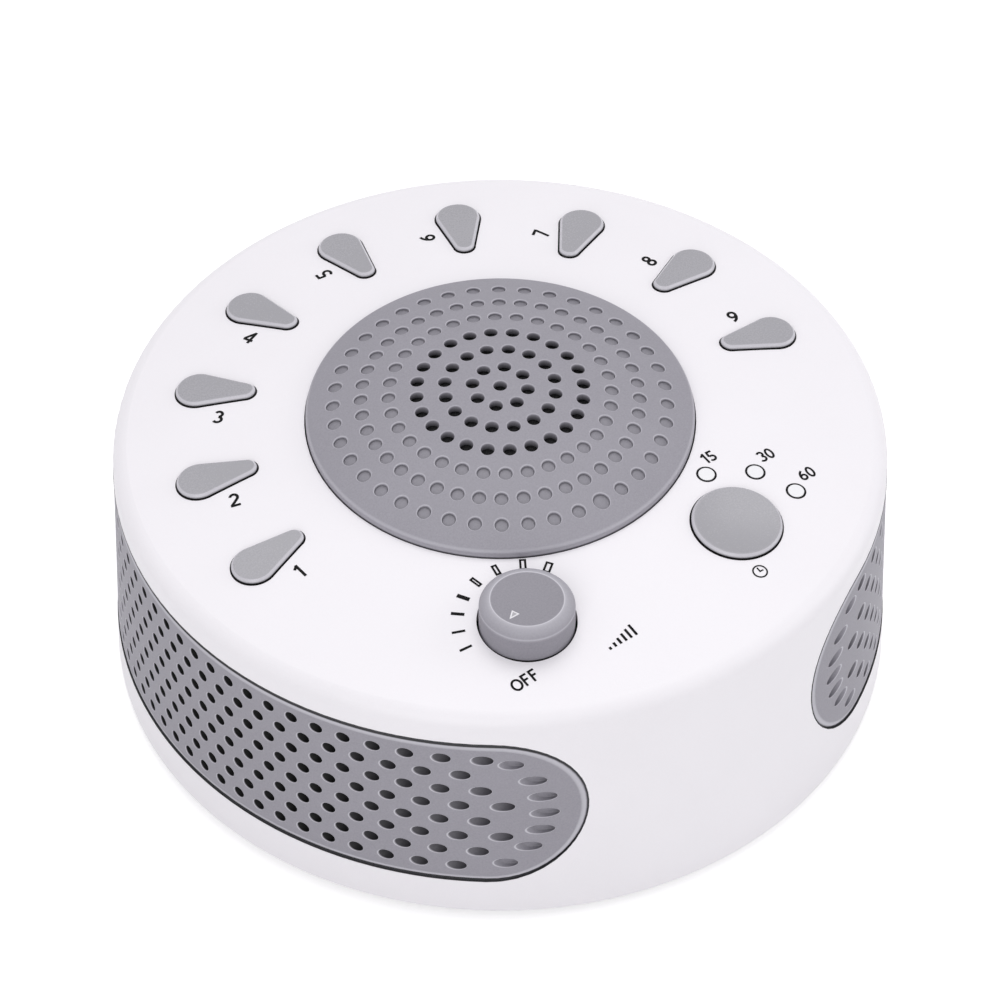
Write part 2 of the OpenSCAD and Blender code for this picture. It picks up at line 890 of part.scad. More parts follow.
module control_board() {
    color("#2f6b45")
    translate([0, 0, board_top - board_t])
        difference() {
            ring(board_out, board_in, board_t);
            round_az(posts, post_r)
                translate([0, 0, -1])
                    cylinder(r = post_t + 0.5, h = board_t + 2);
            round_az(board_pins, board_pin_r)
                translate([0, 0, -1])
                    cylinder(r = pilot_r + fit_gap, h = board_t + 2);
        }
}
module power_board() {
    color("#2f6b45")
    difference() {
        translate([-power_w / 2, power_y - power_l / 2 - 1, power_z])
            cube([power_w, power_l, board_t]);
        for (x = [-stand_x, stand_x])
            translate([x, power_y, power_z - 1])
                cylinder(r = stake_r + 0.1, h = board_t + 2);
    }
}
module dc_inlet() {
    collar = wall_t + 1.5;
    color("#202022")
    translate([0, jack_face, jack_z])
        rotate([90, 0, 0])
            difference() {
                union() {
                    cylinder(r = jack_r, h = jack_len);
                    translate([-jack_r, -jack_r, collar])
                        cube([2 * jack_r, 2 * jack_r, jack_len - collar]);
                }
                // bore round the contact pin
                translate([0, 0, -1])
                    difference() {
                        cylinder(r = jack_bore, h = jack_len - 2);
                        translate([0, 0, 1.8])
                            cylinder(r = jack_pin, h = jack_len);
                    }
            }
}

// ---- loudspeaker ----------------------------------------------------------

module speaker_gasket() {
    color("#3d3d40")
    translate([0, 0, frame_z])
        ring(speaker_boss_r - boss_r - 0.3, flange_in - 0.3, gasket_t);
}
module speaker_basket() {
    color("#5a5a5e")
    difference() {
        rotate_extrude()
            polygon([
                [gap_r + 0.5, plate_z], [magnet_r, plate_z],
                [basket_in + 1.6, frame_z - frame_t], [speaker_r, frame_z - frame_t],
                [speaker_r, frame_z], [basket_in, frame_z],
                [basket_in, frame_z - frame_t - 0.4], [magnet_r - 1.6, plate_z + basket_floor],
                [gap_r + 0.5, plate_z + basket_floor]
            ]);
        for (a = [0, 90, 180, 270])
            rotate([0, 0, a])
                translate([magnet_r - 5, -window_w / 2, plate_z + 3])
                    cube([speaker_r, window_w, speaker_depth - frame_t - 5]);
        round_az(speaker_screw_az, speaker_boss_r)
            translate([0, 0, frame_z - frame_t - 1])
                cylinder(r = pilot_r + fit_gap, h = frame_t + 2);
    }
}
module speaker_surround() {
    color("#232325")
    rotate_extrude()
        translate([roll_c, frame_z - 0.9])
            intersection() {
                difference() {
                    circle(r = roll_r);
                    circle(r = roll_r - 0.5);
                }
                translate([-2 * roll_r, 0])
                    square(4 * roll_r);
            }
}
module speaker_cone() {
    neck = coil_r + coil_t;
    color("#2a2a2c")
    rotate_extrude()
        polygon([
            [neck, frame_z - cone_depth], [neck + 0.6, frame_z - cone_depth],
            [cone_r, frame_z - 1.5], [cone_r, frame_z - 0.95], [cone_r - 0.5, frame_z - 0.95],
            [neck, frame_z - cone_depth + 1]
        ]);
}
module speaker_dust_cap() {
    bulge = 1.5 * coil_r;
    color("#232325")
    translate([0, 0, frame_z - cone_depth + 1.1])
        intersection() {
            translate([0, 0, -0.75 * bulge])
                difference() {
                    sphere(r = bulge);
                    sphere(r = bulge - 0.5);
                }
            cylinder(r = coil_r + 2, h = 6);
        }
}
module voice_coil() {
    color("#b5713c")
    translate([0, 0, plate_z - plate_t])
        ring(coil_r + coil_t - rest_gap, coil_r - coil_t,
             plate_t + speaker_depth - cone_depth + 0.9);
}
// corrugated ring that centres the coil
module speaker_spider() {
    waves = 5;
    r_in = coil_r + coil_t;
    step = (magnet_r - 2.2 - r_in) / waves;
    top = [for (i = [0 : 2 * waves]) [r_in + i * step / 2, (i % 2 == 0) ? 0.4 : 1.1]];
    under = [for (i = [2 * waves : -1 : 0]) [top[i][0], top[i][1] - 0.4]];
    color("#c7a66a")
    translate([0, 0, plate_z + basket_floor + rest_gap])
        rotate_extrude()
            polygon(concat(top, under));
}
module speaker_front_plate() {
    color("#b9babd")
    translate([0, 0, plate_z - plate_t])
        ring(magnet_r + 0.6, gap_r, plate_t);
}
module speaker_magnet() {
    color("#2c2c2e")
    translate([0, 0, plate_z - plate_t - magnet_h])
        ring(magnet_r, gap_r + 1, magnet_h);
}
module speaker_yoke() {
    pole_h = yoke_t + magnet_h + plate_t;
    color("#b9babd")
    translate([0, 0, plate_z - pole_h])
        rotate_extrude()
            polygon([
                [0, 0], [magnet_r + 0.4, 0], [magnet_r + 0.4, yoke_t], [pole_r, yoke_t],
                [pole_r, pole_h], [0, pole_h]
            ]);
}

// ---- feet and fasteners ---------------------------------------------------

module rubber_foot(i) {
    color("#c9c9cb")
    rotate([0, 0, foot_az[i]])
        translate([foot_ring, 0, 0])
            rotate_extrude()
                polygon([
                    [0, 0], [foot_r - foot_soft, 0], [foot_r, foot_soft],
                    [foot_r, foot_z + foot_sunk], [0, foot_z + foot_sunk]
                ]);
}
// a pan-head screw with a cross slot, head down, shank up from the head's seat
module screw(r, head_r, head_h, length) {
    difference() {
        rotate_extrude()
            polygon([
                [0, -head_h], [head_r - 0.3, -head_h], [head_r, -head_h + 0.3], [head_r, 0],
                [r, 0], [r, length - screw_tip], [r - screw_tip, length], [0, length]
            ]);
        for (a = [0, 90])
            rotate([0, 0, a])
                translate([-head_r * 0.6, -slot_w / 2, -head_h - 1])
                    cube([head_r * 1.2, slot_w, 1.6]);
    }
}
module base_screws() {
    color("#b4b5b8")
    round_az(posts, post_r)
        translate([0, 0, foot_z + screw_head_h])
            screw(screw_d / 2, screw_head_r, screw_head_h - 0.1, screw_l);
}
module board_screws() {
    color("#b4b5b8")
    round_az(board_pins, board_pin_r)
        translate([0, 0, board_top - board_t])
            screw(pilot_r - rest_gap, small_head_r, small_head_h, board_screw_l);
}
module speaker_screws() {
    color("#b4b5b8")
    round_az(speaker_screw_az, speaker_boss_r)
        translate([0, 0, frame_z - frame_t])
            screw(pilot_r - rest_gap, small_head_r, small_head_h, speaker_screw_l);
}

// ---- assembly -------------------------------------------------------------

top_housing();
base_cover();
dome_grille();
mirror([1, 0, 0]) side_grille();  // side_grille_left
side_grille();  // side_grille_right
dome_scrim();
mirror([1, 0, 0]) side_scrim();  // side_scrim_left
side_scrim();  // side_scrim_right
sound_button(1);  // sound_button_1
sound_button(2);  // sound_button_2
sound_button(3);  // sound_button_3
sound_button(4);  // sound_button_4
sound_button(5);  // sound_button_5
sound_button(6);  // sound_button_6
sound_button(7);  // sound_button_7
sound_button(8);  // sound_button_8
sound_button(9);  // sound_button_9
switch_plunger(1);  // switch_plunger_1
switch_plunger(2);  // switch_plunger_2
switch_plunger(3);  // switch_plunger_3
switch_plunger(4);  // switch_plunger_4
switch_plunger(5);  // switch_plunger_5
switch_plunger(6);  // switch_plunger_6
switch_plunger(7);  // switch_plunger_7
switch_plunger(8);  // switch_plunger_8
switch_plunger(9);  // switch_plunger_9
timer_button();
timer_plunger();
volume_knob();
knob_pointer();
potentiometer_shaft();
potentiometer_body();
timer_lens(2);  // timer_lens_15
timer_lens(1);  // timer_lens_30
timer_lens(0);  // timer_lens_60
timer_leds();
control_board();
tact_switches();
speaker_gasket();
speaker_basket();
speaker_surround();
speaker_cone();
speaker_dust_cap();
voice_coil();
speaker_spider();
speaker_front_plate();
speaker_magnet();
speaker_yoke();
power_board();
dc_inlet();
rubber_foot(0);  // rubber_foot_1
rubber_foot(1);  // rubber_foot_2
rubber_foot(2);  // rubber_foot_3
rubber_foot(3);  // rubber_foot_4
base_screws();
board_screws();
speaker_screws();
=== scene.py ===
import json
import math

import bpy
from mathutils import Matrix, Vector
from mathutils.geometry import delaunay_2d_cdt


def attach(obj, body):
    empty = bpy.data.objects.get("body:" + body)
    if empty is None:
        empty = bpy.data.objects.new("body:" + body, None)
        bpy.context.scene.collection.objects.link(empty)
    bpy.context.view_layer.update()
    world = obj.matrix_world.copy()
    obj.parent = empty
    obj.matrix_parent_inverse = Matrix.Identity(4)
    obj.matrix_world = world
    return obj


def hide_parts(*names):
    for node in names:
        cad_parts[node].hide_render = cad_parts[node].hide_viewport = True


mm = 0.001  # shapes below are worked out in millimetres
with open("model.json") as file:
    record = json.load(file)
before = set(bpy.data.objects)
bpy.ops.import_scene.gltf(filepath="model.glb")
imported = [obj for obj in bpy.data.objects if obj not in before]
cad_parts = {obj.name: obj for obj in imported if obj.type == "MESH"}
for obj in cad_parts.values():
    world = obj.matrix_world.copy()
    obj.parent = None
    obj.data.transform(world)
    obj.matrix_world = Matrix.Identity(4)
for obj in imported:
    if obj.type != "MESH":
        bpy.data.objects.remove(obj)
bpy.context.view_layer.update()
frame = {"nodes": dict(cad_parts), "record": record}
nodes = frame["nodes"]
print("frame loaded:", len(nodes), "CAD nodes")


view = {"azimuth": -122.3, "elevation": 45.61, "distance": 1.0968,
        "aim": (-0.00135, -0.00207, 0.03755), "lens": 211.14}
studio = {
    "sky": (0.98, 0.97, 1.0), "skyLevel": 0.57, "backdrop": (1, 1, 1),
    "softboxes": {
        "frontBox": {"at": (-0.95, -0.95, 0.75), "size": 0.9, "watts": 6.0},
        "topBox": {"at": (0.25, 0.35, 1.3), "size": 1.0, "watts": 6.6},
        "rightBox": {"at": (1.15, -0.5, 0.5), "size": 0.7, "watts": 2.4},
    },
    "floorSize": 8.0, "floorTone": 0.88, "floorLift": 0.42,  # a glow that keeps the paper white
}


def direction(azimuth, elevation):
    a, e = math.radians(azimuth), math.radians(elevation)
    return Vector((math.cos(e) * math.cos(a), math.cos(e) * math.sin(a), math.sin(e)))


def looking(way):
    # the rotation of a camera or a lamp that looks along way
    return way.to_track_quat("-Z", "Y").to_euler()


def addObject(name, data):
    made = bpy.data.objects.new(name, data)
    bpy.context.scene.collection.objects.link(made)
    return made


def addCamera():
    out = direction(view["azimuth"], view["elevation"])
    camera = addObject("camera", bpy.data.cameras.new("camera"))
    camera.location = Vector(view["aim"]) + out * view["distance"]
    camera.rotation_euler = looking(-out)
    camera.data.lens = view["lens"]
    bpy.context.scene.camera = camera


def addSoftboxes():
    # each looks at the origin
    for name, box in studio["softboxes"].items():
        lamp = addObject(name, bpy.data.lights.new(name, "AREA"))
        lamp.data.energy, lamp.data.size = box["watts"], box["size"]
        lamp.location = box["at"]
        lamp.rotation_euler = looking(-Vector(box["at"]))


class Wire:
    # one socket in a node tree; sums on it add Math nodes
    def __init__(self, tree, socket):
        self.tree, self.socket = tree, socket

    def maths(self, operation, first, second):
        return self.tree.node("Math", {"operation": operation}, {0: first, 1: second})

    def __add__(self, other):
        return self.maths("ADD", self, other)

    def __sub__(self, other):
        return self.maths("SUBTRACT", self, other)

    def __rsub__(self, other):
        return self.maths("SUBTRACT", other, self)

    def __mul__(self, other):
        return self.maths("MULTIPLY", self, other)

    __radd__ = __add__
    __rmul__ = __mul__

    def between(self, low, high):
        # 0 below low, 1 above high, smooth between
        return self.tree.node("MapRange", {"interpolation_type": "SMOOTHSTEP"},
                              {"Value": self, "From Min": low, "From Max": high})


class NodeTree:
    def __init__(self, owner):
        owner.use_nodes = True
        self.nodes, self.links = owner.node_tree.nodes, owner.node_tree.links
        self.nodes.clear()

    def node(self, kind, settings=None, values=None, out=0):
        made = self.nodes.new("ShaderNode" + kind)
        for key, value in (settings or {}).items():
            setattr(made, key, value)
        for key, value in (values or {}).items():
            self.feed(made.inputs[key], value)
        return Wire(self, made.outputs[out]) if len(made.outputs) else None

    def feed(self, socket, value):
        if isinstance(value, Wire):
            self.links.new(value.socket, socket)
        else:
            socket.default_value = value

    def mix(self, factor, low, high):
        # a colour between two others
        return self.node("Mix", {"data_type": "RGBA"}, {0: factor, 6: low, 7: high}, out=2)

    def noise(self, scale, detail=2.0, rough=0.5):
        where = self.node("TexCoord", out="Object")
        return self.node("TexNoise", values={"Vector": where, "Scale": scale, "Detail": detail,
                                             "Roughness": rough})

    def seen(self):
        # 1 on rays that show the surface, 0 on those that light other things
        path = self.nodes.new("ShaderNodeLightPath")
        rays = [Wire(self, path.outputs[name])
                for name in ("Is Camera Ray", "Is Glossy Ray", "Is Transmission Ray")]
        return rays[0] + rays[1] + rays[2]


def addSky():
    world = bpy.data.worlds.new("studioSky")
    bpy.context.scene.world = world
    tree = NodeTree(world)
    soft = tree.node("Background", values={"Color": (*studio["sky"], 1),
                                           "Strength": studio["skyLevel"]})
    white = tree.node("Background", values={"Color": (*studio["backdrop"], 1), "Strength": 1.0})
    both = tree.node("MixShader", values={0: tree.seen(), 1: soft, 2: white})
    tree.node("OutputWorld", values={"Surface": both})


def addFloor():
    half = studio["floorSize"] / 2
    mesh = bpy.data.meshes.new("floor")
    mesh.from_pydata([(-half, -half, 0), (half, -half, 0), (half, half, 0), (-half, half, 0)],
                     [], [(0, 1, 2, 3)])
    floor = addObject("floor", mesh)
    material = bpy.data.materials.new("studioPaper")
    tree = NodeTree(material)
    tone = studio["floorTone"]
    matt = tree.node("BsdfDiffuse", values={"Color": (tone, tone, tone, 1)})
    lift = tree.node("Emission", values={"Strength": tree.seen() * studio["floorLift"]})
    both = tree.node("AddShader", values={0: matt, 1: lift})
    tree.node("OutputMaterial", values={"Surface": both})
    mesh.materials.append(material)


bpy.context.scene.view_settings.view_transform = "Standard"
addCamera()
addSky()
addSoftboxes()
addFloor()
print("studio set up")


class Finish(NodeTree):
    # a material with a Principled shader, built up node by node
    def __init__(self, name, sockets):
        self.material = bpy.data.materials.new(name)
        super().__init__(self.material)
        self.shader = self.nodes.new("ShaderNodeBsdfPrincipled")
        self.node("OutputMaterial", values={"Surface": Wire(self, self.shader.outputs[0])})
        self.wear(sockets)

    def wear(self, sockets):
        for name, value in sockets.items():
            self.feed(self.shader.inputs[name], value)

    def shades(self, colour, spread, factor):
        low = tuple(c * (1 - spread) for c in colour) + (1,)
        high = tuple(min(1, c * (1 + spread)) for c in colour) + (1,)
        return self.mix(factor, low, high)

    def bump(self, height, depth):
        return self.node("Bump", values={"Strength": 1.0, "Distance": depth, "Height": height})


# rim: a paler colour that the edge attribute mixes in, a painted highlight on the turned edges of
# grilles, knob and keys, and the pointer outline's own light colour
plastics = {
    "housing_white": {"colour": (0.885, 0.865, 0.895), "rough": 0.42, "grain": 2600.0,
                      "depth": 0.000012, "fleck": 0.012, "cloud": 0.012},
    "base_white": {"colour": (0.80, 0.79, 0.81), "rough": 0.55, "grain": 1800.0,
                   "depth": 0.00002, "fleck": 0.02, "cloud": 0.02},
    "grille_grey": {"colour": (0.305, 0.295, 0.332), "rough": 0.55, "grain": 3000.0,
                    "depth": 0.00004, "fleck": 0.12, "cloud": 0.04,
                    "rim": (0.62, 0.61, 0.66)},
    "key_grey": {"colour": (0.362, 0.357, 0.383), "rough": 0.27, "grain": 3400.0,
                 "depth": 0.00002, "fleck": 0.05, "cloud": 0.04, "rim": (0.58, 0.57, 0.61)},
    "pointer_light": {"colour": (0.36, 0.35, 0.38), "rough": 0.4, "grain": 3000.0,
                      "depth": 0.00001, "fleck": 0.02, "cloud": 0.02,
                      "rim": (0.78, 0.77, 0.80)},
    "switch_black": {"colour": (0.045, 0.045, 0.05), "rough": 0.5, "grain": 2400.0,
                     "depth": 0.00002, "fleck": 0.2, "cloud": 0.1},
    "inlet_black": {"colour": (0.035, 0.035, 0.04), "rough": 0.4, "grain": 2400.0,
                    "depth": 0.00002, "fleck": 0.2, "cloud": 0.1},
    "lens_white": {"colour": (0.86, 0.86, 0.88), "rough": 0.25, "grain": 1500.0,
                   "depth": 0.000004, "fleck": 0.01, "cloud": 0.02},
    "led_white": {"colour": (0.80, 0.78, 0.68), "rough": 0.2, "grain": 1500.0,
                  "depth": 0.000004, "fleck": 0.02, "cloud": 0.03},
    "foot_rubber": {"colour": (0.50, 0.50, 0.51), "rough": 0.75, "grain": 1600.0,
                    "depth": 0.00003, "fleck": 0.08, "cloud": 0.05},
    "foam_black": {"colour": (0.05, 0.05, 0.055), "rough": 0.95, "grain": 1100.0,
                   "depth": 0.0002, "fleck": 0.4, "cloud": 0.1},
    "surround_black": {"colour": (0.035, 0.035, 0.04), "rough": 0.7, "grain": 1800.0,
                       "depth": 0.00003, "fleck": 0.1, "cloud": 0.08},
    "basket_black": {"colour": (0.09, 0.09, 0.10), "rough": 0.45, "grain": 900.0,
                     "depth": 0.00002, "fleck": 0.1, "cloud": 0.08},
    "ferrite": {"colour": (0.06, 0.06, 0.065), "rough": 0.65, "grain": 700.0,
                "depth": 0.00005, "fleck": 0.3, "cloud": 0.15},
}
# gap: the near black of the painted shade down in gaps and holes
plasticBase = {"ior": 1.46, "detail": 3.0, "ragged": 0.6, "cloudScale": 55.0,
               "cloudRough": 0.08, "grainRough": 0.10, "gap": (0.004, 0.004, 0.004)}


def mouldedPlastic(name, look):
    # spark-eroded texture: fine grain in height and tone, over a faint broad unevenness
    finish = Finish(name, {"IOR": plasticBase["ior"]})
    grain = finish.noise(look["grain"], plasticBase["detail"], plasticBase["ragged"])
    cloud = finish.noise(plasticBase["cloudScale"])
    tone = grain * look["fleck"] + cloud * look["cloud"]
    whole = look["fleck"] + look["cloud"]
    colour = finish.shades(look["colour"], whole, tone.between(0, whole))
    if "rim" in look:  # paler where the edge attribute is above 0 (a painted highlight on turned edges; on the pointer, its own light outline), near black below 0 (painted shade in gaps and holes)
        edge = finish.node("Attribute", {"attribute_name": "edge"}, out="Fac")
        colour = finish.mix(edge.between(0, 1), colour, (*look["rim"], 1))
        colour = finish.mix((0 - edge).between(0, 1), colour, (*plasticBase["gap"], 1))
    finish.wear({
        "Base Color": colour,
        "Roughness": (look["rough"] + plasticBase["cloudRough"] * (cloud - 0.5)
                      + plasticBase["grainRough"] * (grain - 0.5)),
        "Normal": finish.bump(grain, look["depth"]),
    })
    return finish.material


metals = {
    "steel": {"colour": (0.60, 0.60, 0.62), "rough": 0.32, "grain": 1200.0, "stretch": 12.0},
    "pot_steel": {"colour": (0.45, 0.45, 0.47), "rough": 0.4, "grain": 900.0, "stretch": 4.0},
    "coil_copper": {"colour": (0.72, 0.38, 0.20), "rough": 0.35, "grain": 2500.0,
                    "stretch": 30.0},
}
metalBase = {"patchScale": 140.0, "detail": 3.0, "spread": 0.12, "patchRough": 0.15,
             "brushRough": 0.1, "depth": 0.000008}


def platedMetal(name, look):
    # brushed along one way, with duller patches
    finish = Finish(name, {"Metallic": 1.0})
    where = finish.node("TexCoord", out="Object")
    along = finish.node("VectorMath", {"operation": "MULTIPLY"},
                        {0: where, 1: (1, look["stretch"], look["stretch"])})
    brush = finish.node("TexNoise", values={"Vector": along, "Scale": look["grain"],
                                            "Detail": metalBase["detail"]})
    patch = finish.noise(metalBase["patchScale"], metalBase["detail"])
    finish.wear({
        "Base Color": finish.shades(look["colour"], metalBase["spread"], brush),
        "Roughness": (look["rough"] + metalBase["patchRough"] * (patch - 0.5)
                      + metalBase["brushRough"] * (brush - 0.5)),
        "Normal": finish.bump(brush, metalBase["depth"]),
    })
    return finish.material


cloths = {
    "scrim_black": {"colour": (0.028, 0.028, 0.030), "thread": 500.0},
    "spider_cloth": {"colour": (0.66, 0.50, 0.28), "thread": 400.0},
}
clothBase = {"rough": 0.9, "sheen": 0.2, "waver": 0.4, "spread": 0.4, "depth": 0.00008}


def wovenCloth(name, look):
    # over-and-under weave on the x and y threads
    finish = Finish(name, {"Roughness": clothBase["rough"], "Sheen Weight": clothBase["sheen"]})
    where = finish.node("TexCoord", out="Object")
    along, across = [
        finish.node("TexWave", {"wave_type": "BANDS", "bands_direction": way},
                    {"Vector": where, "Scale": look["thread"], "Distortion": clothBase["waver"]})
        for way in "XY"]
    weave = along * (1 - across) + across * (1 - along)
    finish.wear({"Base Color": finish.shades(look["colour"], clothBase["spread"], weave),
                 "Normal": finish.bump(weave, clothBase["depth"])})
    return finish.material


board = {"colour": (0.03, 0.16, 0.07), "spread": 0.18, "coat": 0.6, "coatRough": 0.12,
         "cells": 260.0, "jumble": 0.6, "track": (0.30, 0.36), "depth": 0.00003,
         "rough": 0.35, "grain": 900.0, "grainRough": 0.1}


def circuitBoard(name):
    # glossy solder mask with faint tracks under it
    finish = Finish(name, {"Coat Weight": board["coat"], "Coat Roughness": board["coatRough"]})
    where = finish.node("TexCoord", out="Object")
    cells = finish.node("TexVoronoi", {"distance": "CHEBYCHEV", "feature": "F1"},
                        {"Vector": where, "Scale": board["cells"],
                         "Randomness": board["jumble"]})
    track = cells.between(*board["track"])
    grain = finish.noise(board["grain"])
    finish.wear({"Base Color": finish.shades(board["colour"], board["spread"], track),
                 "Roughness": board["rough"] + board["grainRough"] * grain,
                 "Normal": finish.bump(track, board["depth"])})
    return finish.material


paper = {"colour": (0.05, 0.05, 0.055), "spread": 0.3, "rough": 0.85, "fibre": 1300.0,
         "detail": 6.0, "fray": 0.7, "depth": 0.00006}


def pressedPaper(name):
    # short fibres pressed flat
    finish = Finish(name, {"Roughness": paper["rough"]})
    fibre = finish.noise(paper["fibre"], paper["detail"], paper["fray"])
    finish.wear({"Base Color": finish.shades(paper["colour"], paper["spread"], fibre),
                 "Normal": finish.bump(fibre, paper["depth"])})
    return finish.material


ink = {"colour": (0.008, 0.008, 0.0084), "spread": 0.35, "shine": 0.15, "rough": 0.75,
       "thinRough": 0.2, "grain": 1800.0, "detail": 4.0, "depth": 0.000004}


def printedInk(name):
    # screen print, a little thin in places
    finish = Finish(name, {"Specular IOR Level": ink["shine"]})
    thin = finish.noise(ink["grain"], ink["detail"])
    finish.wear({"Base Color": finish.shades(ink["colour"], ink["spread"], thin),
                 "Roughness": ink["rough"] + ink["thinRough"] * thin,
                 "Normal": finish.bump(thin, ink["depth"])})
    return finish.material


finishes = {name: mouldedPlastic(name, look) for name, look in plastics.items()}
finishes.update({name: platedMetal(name, look) for name, look in metals.items()})
finishes.update({name: wovenCloth(name, look) for name, look in cloths.items()})
finishes["board_green"] = circuitBoard("board_green")
finishes["cone_paper"] = pressedPaper("cone_paper")
inkBlack = printedInk("inkBlack")

for part in frame["record"]["subparts"]:
    for holder in nodes[part["node"]].material_slots:
        holder.material = finishes[part["material_slot"]]
print("finishes:", len(finishes))


drum = {"footR": 73.0, "draft": 1.1, "footZ": 1.4, "rimZ": 58.4, "lip": 1.6, "crownR": 400.0,
        "shoulderH": 3.3, "shoulderIn": 2.6}
dome = {"r": 36.0, "rise": 6.8, "round": 0.9, "lipHigh": 0.3, "lipLow": 0.08, "skirt": 3.0,
        "step": 5.15, "turn": 4.2, "counts": (1, 8, 16, 24, 32, 40, 40), "openRings": 3,
        "holeD": 2.5, "web": 1.5, "holeRound": 0.3, "dimple": 0.75, "dimpleSoft": 0.3,
        "marker": (6, 30), "markerD": 3.1,  # ring and place of the one wider dimple
        "facets": 240, "rimSteps": 7, "looseOut": 0.3,  # of the sheet's loose points
        # values above 0 paint a highlight on the rim, the lip's top and the edges of holes and
        # dimples; those below 0 paint shade at the lip's foot, down the holes and in the dimples
        "rimHighlight": 0.45, "lipHighlight": 0.3, "lipShade": -0.6, "holeHighlight": 0.45, "holeShade": -0.6,
        "dimpleHighlight": 0.6, "dimpleShade": -0.55, "floorShade": -0.2}
faceZ = drum["rimZ"] - drum["lip"]
crownC = faceZ - math.sqrt(drum["crownR"] ** 2 - dome["r"] ** 2)


def crownZ(r):
    return crownC + math.sqrt(drum["crownR"] ** 2 - r ** 2)


wallTopR = drum["footR"] - drum["draft"]
shoulderZ = crownZ(wallTopR - drum["shoulderIn"]) - drum["shoulderH"]
wallLean = drum["draft"] / (shoulderZ - drum["footZ"])


def wallR(z):
    return wallTopR + wallLean * (shoulderZ - z)


# A face has a way to place a point (u, v, depth under it), its two directions there (out of
# the face, and along it to the side that (nu, nv) looks to) and the point's place when the
# face is rolled out flat.

class DomeFace:
    capR = (dome["r"] ** 2 + dome["rise"] ** 2) / (2 * dome["rise"])
    capC = drum["rimZ"] + dome["rise"] - capR

    def at(self, u, v, depth=0):
        return Vector((u, v, self.capC + math.sqrt(self.capR ** 2 - u * u - v * v) - depth))

    def out(self, u, v):
        return (self.at(u, v) - Vector((0, 0, self.capC))).normalized()

    def side(self, nu, nv):
        return Vector((nu, nv, 0))

    def flat(self, u, v):
        return Vector((u, v))


class WallFace:
    # u runs across, square to the wall's middle, and v is the height
    def __init__(self, azimuth, sunk=0.0):
        self.turn = Matrix.Rotation(math.radians(azimuth), 3, "Z")
        self.sunk = sunk

    def at(self, u, v, depth=0):
        r = wallR(v) - self.sunk - depth
        return self.turn @ Vector((math.sqrt(r * r - u * u), u, v))

    def out(self, u, v):
        r = wallR(v)
        return (self.turn @ Vector((math.sqrt(r * r - u * u), u, r * wallLean))).normalized()

    def side(self, nu, nv):
        return self.turn @ Vector((0, nu, nv))

    def flat(self, u, v):
        r = wallR(v)
        return Vector((r * math.asin(u / r), v))


class PlaneFace:
    def __init__(self, seat):
        self.seat = seat  # the matrix that sets its origin and directions

    def at(self, u, v, depth=0):
        return self.seat @ Vector((u, v, -depth))

    def out(self, u, v):
        return self.seat.to_3x3() @ Vector((0, 0, 1))

    def side(self, nu, nv):
        return self.seat.to_3x3() @ Vector((nu, nv, 0))

    def flat(self, u, v):
        return Vector((u, v))


def squareToFace(azimuth, r):
    # a plane that touches the top face at azimuth and radius
    lean = math.asin(r / drum["crownR"])
    return PlaneFace(Matrix.Rotation(math.radians(azimuth), 4, "Z")
                     @ Matrix.Translation((r, 0, crownZ(r))) @ Matrix.Rotation(lean, 4, "Y"))


def turnsOf(count):
    # angles in equal steps round a full circle
    return [2 * math.pi * i / count for i in range(count)]


# An outline gives its points, and the way each looks, when it is grown by g.

def circleOutline(u, v, r, count):
    def grown(g):
        return [(u + (r + g) * math.cos(a), v + (r + g) * math.sin(a), math.cos(a), math.sin(a))
                for a in turnsOf(count)]
    return grown


def arcPoints(u, v, r, first, last, count):
    turns = [math.radians(first + (last - first) * i / count) for i in range(count + 1)]
    return [(u + r * math.cos(a), v + r * math.sin(a), math.cos(a), math.sin(a)) for a in turns]


